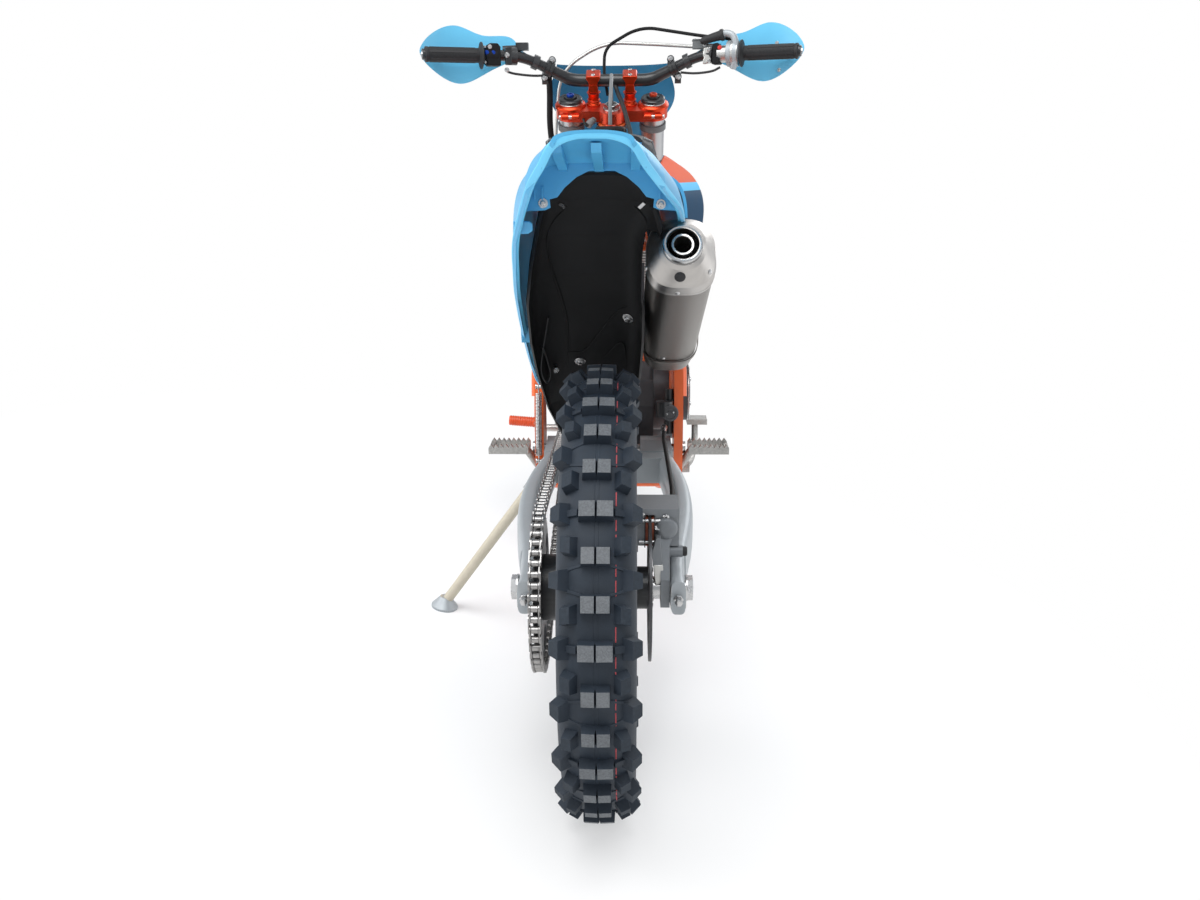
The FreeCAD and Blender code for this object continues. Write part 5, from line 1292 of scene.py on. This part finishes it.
def shock():
    """A coil round the damper's body."""
    wound, damper = Shape(), Shape()
    bottom, top = np.array([18.0, 478.0, 430.0]), np.array([18.0, 652.0, 845.0])
    along = unit(top - bottom)
    coil_r, wire_r, turns = 30.5, 5.4, 8
    low, high = bottom + along * 60, bottom + along * 262
    coil(wound, low, high, coil_r, wire_r, turns, steps=28, sides=10)
    tube_rings = [(4, 12), (40, 12), (52, 19), (54, 36), (59, 36), (59, 20), (262, 22), (262, 36), (267, 36),
                  (268, 25), (400, 25), (425, 16)]
    turned(damper, bottom, along, tube_rings, 32)
    turned(damper, bottom - ACROSS * 14, ACROSS, [(0, 15.5), (28, 15.5)], 32)
    build("shock_damper", damper, "dark_steel")
    piece = build("shock_coil", wound, "bright_aluminium", angle=60)
    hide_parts("rear_shock")


def stand():
    """The leg's cream finish over a grey foot."""
    foot_top, foot_x, foot_y = 92, -345.0, 522.0
    two_tone("side_stand", "stand_cream", lambda p: p[2] > foot_top)
    frame["nodes"]["side_stand"].data.materials[0] = MATS["grey_aluminium"]
    sole = (foot_x, foot_y, -foot_x * math.tan(LEAN))
    level = np.array([math.sin(LEAN), 0, math.cos(LEAN)])
    rim = Shape()
    turned(rim, sole, level, [(0.2, 26.9), (0.2, 27), (3.6, 27), (4.6, 26)], 40)
    build("stand_sole", rim, "dark_steel", body="side_stand")


def pedals():
    """The shift lever's ribbed tip and the master cylinder's cap."""
    tip, cap, screws = Shape(), Shape(), Shape()
    root, end = np.array([-176.0, 840.0, 385.2]), np.array([-234.5, 840.0, 390.0])
    rings = [(-2, 8.6), (0, 11.6)]
    along, ribs_end, pitch = 2.0, 50, 5.2
    while along < ribs_end:
        rings += [(along, 11.8), (along + 2.4, 11.8), (along + 3.0, 10.6), (along + 4.6, 10.6)]
        along += pitch
    rings += [(54, 11.6), (58, 11.0), (59, 9)]
    turned(tip, root, end - root, rings, 28)
    build("shift_tip", tip, "orange_plastic")
    cap_pixel = (670, 413)
    at, _ = seen_on("master_cylinder", *cap_pixel)
    cap_rings = [(-6, 15), (-1, 17), (2, 17), (3, 15.6), (3, 12), (1.8, 11.4), (1.8, 5), (3, 4.4)]
    turned(cap, at, BACK, cap_rings, 36)
    build("reservoir_cap", cap, "dark_steel")
    for x in (-6, 6):
        bolt(screws, at + BACK * 2 + ACROSS * x * 1.1 + UP * x * 0.3, BACK, 2.2, sides=14)
    build("reservoir_screws", screws)


# Engine and radiators

def engine_details():
    """Fins round the barrel, an inlet tube with its clips, a plug cap and the coolant hoses."""
    fins, rubber, hoses = Shape(), Shape(), Shape()
    for k in range(6):
        z = 540 + 17 * k
        block(fins, (-66, 66), (762 + k * 1.5, 890 + k * 2.2), (z, z + 4))
    build("barrel_fins", fins, "engine_metal", bevel=0.8)
    inlet_r, clip_r = 27, 29
    inlet = [(4, 500, 700), (4, 560, 702), (2, 650, 694), (0, 720, 700), (0, 780, 706)]
    plug_lead = [(-30, 840, 742), (-34, 846, 776), (-44, 880, 800), (-54, 930, 812)]
    tube(rubber, inlet, inlet_r, 8, 28)
    for y in (520, 712):
        turned(rubber, (3.0, y, 700.0), (0, 1, 0), [(-5, 26), (-4, clip_r), (4, clip_r), (5, 26)], 32, 1)
    tube(rubber, plug_lead, 5, 8, 12)
    turned(rubber, (-30.0, 840.0, 738.0), UP, [(0, 11), (16, 10), (24, 7.5), (30, 7)], 20)
    build("inlet_tube", rubber, ["grip_rubber", "steel"])
    for s in (-1, 1):
        end = steer_point(s * 60, -131, 905)
        hose = [(s * 44, 890, 726), (s * 46, 905, 752), (s * 54, end[1] - 34, end[2] - 22), end]
        tube(hoses, hose, 11, 8, 16)
    build("coolant_hoses", hoses, "grip_rubber", angle=60)


def engine_covers():
    """Lids on the engine's round covers, with bolts round them."""
    bolts, lids = Shape(), Shape()
    clutch_lid = [(-1, 40), (1.5, 40), (2.5, 38), (2.5, 14), (1.2, 12), (1.2, 2)]
    ignition_lid = [(-1, 40), (2.0, 38), (3, 34), (3, 16), (1.6, 14)]
    pump_lid = [(-1, 24), (4, 23), (6, 18), (6.5, 8)]
    covers = [((168, 716, 484), 1, 51, 6, 4.6, clutch_lid, 48),
              ((140, 822, 398), 1, 36, 4, 4.2, pump_lid, 36),
              ((-124, 826, 440), -1, 50, 6, 4.4, ignition_lid, 48)]
    for (x, y, z), out, bolts_r, count, size, lid, sides in covers:
        for k in range(count):
            bolt(bolts, wheel_point(x, bolts_r, 360 / count * k + 15, (y, z)), ACROSS * out, size, sides=18)
        turned(lids, (x, y, z), ACROSS * out, lid, sides)
    turned(bolts, (167.0, 716.0, 484.0), ACROSS, [(-2, 60.2), (0.2, 60.4), (1.4, 58.6), (1.4, 57)], 64)
    for x in (-50, 50):
        for y, z in ((800, 748), (900, 736)):
            nut(bolts, (x, y, z), UP, 7, 6)
    build("engine_bolts", bolts)
    build("cover_lids", lids, "engine_metal", angle=30)


def radiator_details():
    """Fins over the cores' faces, frames at their sides and a filler cap."""
    fins, frames = Shape(), Shape()
    first, pitch, half, thick = 802.0, 7.6, 46, 1.4
    fin = [(-half, 0), (half, 0), (half, thick), (-half, thick)]
    edge = [(-4, 0), (4, 0), (4, 208), (-4, 208)]
    for s in (-1, 1):
        for k in range(26):
            for ahead in (-98, -131.6):
                prism(fins, fin, steer_point(s * 88, ahead, first + pitch * k), ACROSS, STEER_UP, -1.6)
        for x in (42, 134):
            prism(frames, edge, steer_point(s * x, -131.5, 797), ACROSS, STEER_UP, -35)
    cap = [(-2, 12), (8, 12), (8, 18), (14, 18), (15, 14)]
    turned(frames, steer_point(92, -114, 1006), STEER_UP, cap, 24)
    build("radiator_fins", fins, "dark_steel")
    build("radiator_frames", frames, "bright_aluminium", bevel=1.0)


# Seat

def seat_half(y):
    """Middle height, half width and half height of the seat at a place along it."""
    rows = [(-130, 988, 58, 8), (-20, 980, 74, 20), (150, 958, 84, 34), (330, 944, 80, 42),
            (470, 944, 70, 42), (560, 964, 60, 36), (640, 1000, 50, 20), (700, 1014, 40, 8)]
    ys = [row[0] for row in rows]
    return [float(np.interp(y, ys, [row[i] for row in rows])) for i in (1, 2, 3)]


def seat():
    """A firm padded seat: crowned top, pinched seam along each side and a rear and front panel."""
    shape, cord = Shape(), Shape()
    steps, count = 84, 48
    back_y, length, gap_x, gap_z = -129.0, 828.0, 1.5, 1.2
    power, edge_power, seam_at = 0.62, 3.2, 0.42
    pinch_deep, pinch_wide, cross_deep, cross_wide, cross_rows = 2.2, 5.0, 1.6, 4.0, (30, 560)
    crown = 1.2
    verts, faces = [], []
    seams = {-1: [], 1: []}
    for i in range(steps + 1):
        y = back_y + length * i / steps
        z, w, h = seat_half(y)
        w, h = w - gap_x, h - gap_z
        cross = sum(cross_deep * math.exp(-((y - row) / cross_wide) ** 2) for row in cross_rows)
        for k in range(count):
            t = 2 * math.pi * (k + 0.5) / count
            c, s = math.cos(t), math.sin(t)
            px = w * math.copysign(abs(c) ** power, c)
            pz = h * math.copysign(abs(s) ** power, s)
            if s > 0:
                px -= math.copysign(pinch_deep * math.exp(-((pz - h * seam_at) / pinch_wide) ** 2), c)
                pz -= cross + crown * abs(px / w) ** 2
            verts.append((px, y, z + pz))
        edge = w * (1 - seam_at ** edge_power) ** (1 / edge_power)
        for side in (-1, 1):
            seams[side].append(np.array([side * (edge - 0.8), y, z + h * seam_at]))
    for i in range(steps):
        for k in range(count):
            n = (k + 1) % count
            faces.append((i * count + n, i * count + k, (i + 1) * count + k, (i + 1) * count + n))
    faces.append(tuple(range(count)))
    faces.append(tuple(range(steps * count, (steps + 1) * count))[::-1])
    shape.add(verts, faces)
    piece = build("seat_pad", shape, "seat_cover", angle=70)
    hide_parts("seat")
    for line in seams.values():
        for p, q in zip(line[2:-3], line[3:-2]):
            sweep(cord, [p + (q - p) * 0.12, p + (q - p) * 0.88], 1.0, 6)
    build("seat_stitching", cord, "grey_rubber")


# Stage: a pale floor that fades to white, and soft lights

def floor_finish():
    """A pale floor that the camera and mirrors see as white from some way out."""
    near, far = 0.45, 1.5
    tree, shader, coords = new_material("floor")
    painted = blend(tree, noise(tree, coords, 3.0), (0.90, 0.90, 0.90), (0.92, 0.92, 0.92))
    feed(tree, shader.inputs["Base Color"], painted)
    feed(tree, shader.inputs["Roughness"], 0.95)
    feed(tree, shader.inputs["Specular IOR Level"], 0.0)
    away = add_node(tree, "VectorMath", {0: coords}, operation="LENGTH").outputs["Value"]
    rays = add_node(tree, "LightPath").outputs
    mirrored = {0: rays["Is Camera Ray"], 1: rays["Is Glossy Ray"]}
    seen = add_node(tree, "Math", mirrored, operation="MAXIMUM").outputs["Value"]
    fade = remap(tree, away, near, far, 0.0, 1.0)
    share = add_node(tree, "Math", {0: fade, 1: seen}, operation="MULTIPLY").outputs["Value"]
    white = add_node(tree, "Emission").outputs[0]
    mixed = add_node(tree, "MixShader", {0: share, 1: shader.outputs[0], 2: white})
    feed(tree, tree.nodes["Material Output"].inputs["Surface"], mixed.outputs[0])


def world_light():
    """A pale sky, which the camera sees as white."""
    world = bpy.data.worlds.new("world")
    world.use_nodes = True
    bpy.context.scene.world = world
    tree = world.node_tree
    sky = tree.nodes["Background"]
    feed(tree, sky.inputs["Color"], (0.93, 0.96, 1.0, 1))
    feed(tree, sky.inputs["Strength"], 0.65)
    white = add_node(tree, "Background", {"Color": (1, 1, 1, 1), "Strength": 1.0}).outputs[0]
    seen = add_node(tree, "LightPath").outputs["Is Camera Ray"]
    mixed = add_node(tree, "MixShader", {0: seen, 1: sky.outputs[0], 2: white})
    feed(tree, tree.nodes["World Output"].inputs["Surface"], mixed.outputs[0])


def area_light(name, where, look, size, power):
    """A square lamp that faces the point it looks at."""
    data = bpy.data.lights.new(name, "AREA")
    data.shape = "SQUARE"
    data.size = size
    data.energy = power
    lamp = bpy.data.objects.new(name, data)
    lamp.location = where
    lamp.rotation_euler = (Vector(look) - Vector(where)).to_track_quat("-Z", "Y").to_euler()
    bpy.context.scene.collection.objects.link(lamp)


def stage():
    """The floor, the sky and four soft lamps."""
    reach = 14.0
    mesh = bpy.data.meshes.new("floor")
    corners = [(-reach, -reach, 0), (reach, -reach, 0), (reach, reach, 0), (-reach, reach, 0)]
    mesh.from_pydata(corners, [], [(0, 1, 2, 3)])
    floor = bpy.data.objects.new("floor", mesh)
    bpy.context.scene.collection.objects.link(floor)
    floor_finish()
    mesh.materials.append(MATS["floor"])
    world_light()
    area_light("key", (-1.2, -2.2, 4.2), (0, 0, 0.5), size=3.0, power=140)
    area_light("back", (1.8, 3.2, 3.4), (0, 0, 0.6), size=3.0, power=80)
    area_light("left", (-3.4, -0.6, 1.6), (0, 0, 0.6), size=2.4, power=50)
    area_light("right", (3.4, -0.2, 1.6), (0, 0, 0.6), size=2.4, power=20)


plastics()
rubbers()
metals()
shroud_finish()
dress_nodes()
two_tone("hand_guards", "black_metal", lambda p: abs(p[0]) < GUARD_ARM_X)
two_tone("headlight_mask", "grey_rubber", lambda p: p[1] < STRAP_FRONT)
rear_tyre()
front_tyre()
wheel_trim("rear_wheel", REAR_CENTRE, rim_r=236.0, flange_x=40.0, flange_r=52.0,
           disc_x=72.0, bolts_r=27.0, out=1)
wheel_trim("front_wheel", FRONT_CENTRE, rim_r=273.0, flange_x=28.0, flange_r=36.0,
           disc_x=-58.0, bolts_r=26.0, out=-1)
sprocket_teeth()
chain()
tail_rim()
panel_tabs()
tail_details()
liner_bolts()
liner_folds()
silencer_looks()
silencer_end()
silencer_fixings()
handlebar()
grips()
bar_clamps()
bar_mounts()
top_clamp_details()
fork_caps()
left_controls()
throttle_details()
right_controls()
guard_rivets()
filler_cap()
wire_connector()
rear_brake()
hose_fittings()
swingarm_details()
stand_spring()
shock()
stand()
pedals()
engine_covers()
engine_details()
radiator_details()
seat()
camera()
stage()
bpy.context.scene.view_settings.view_transform = "Standard"
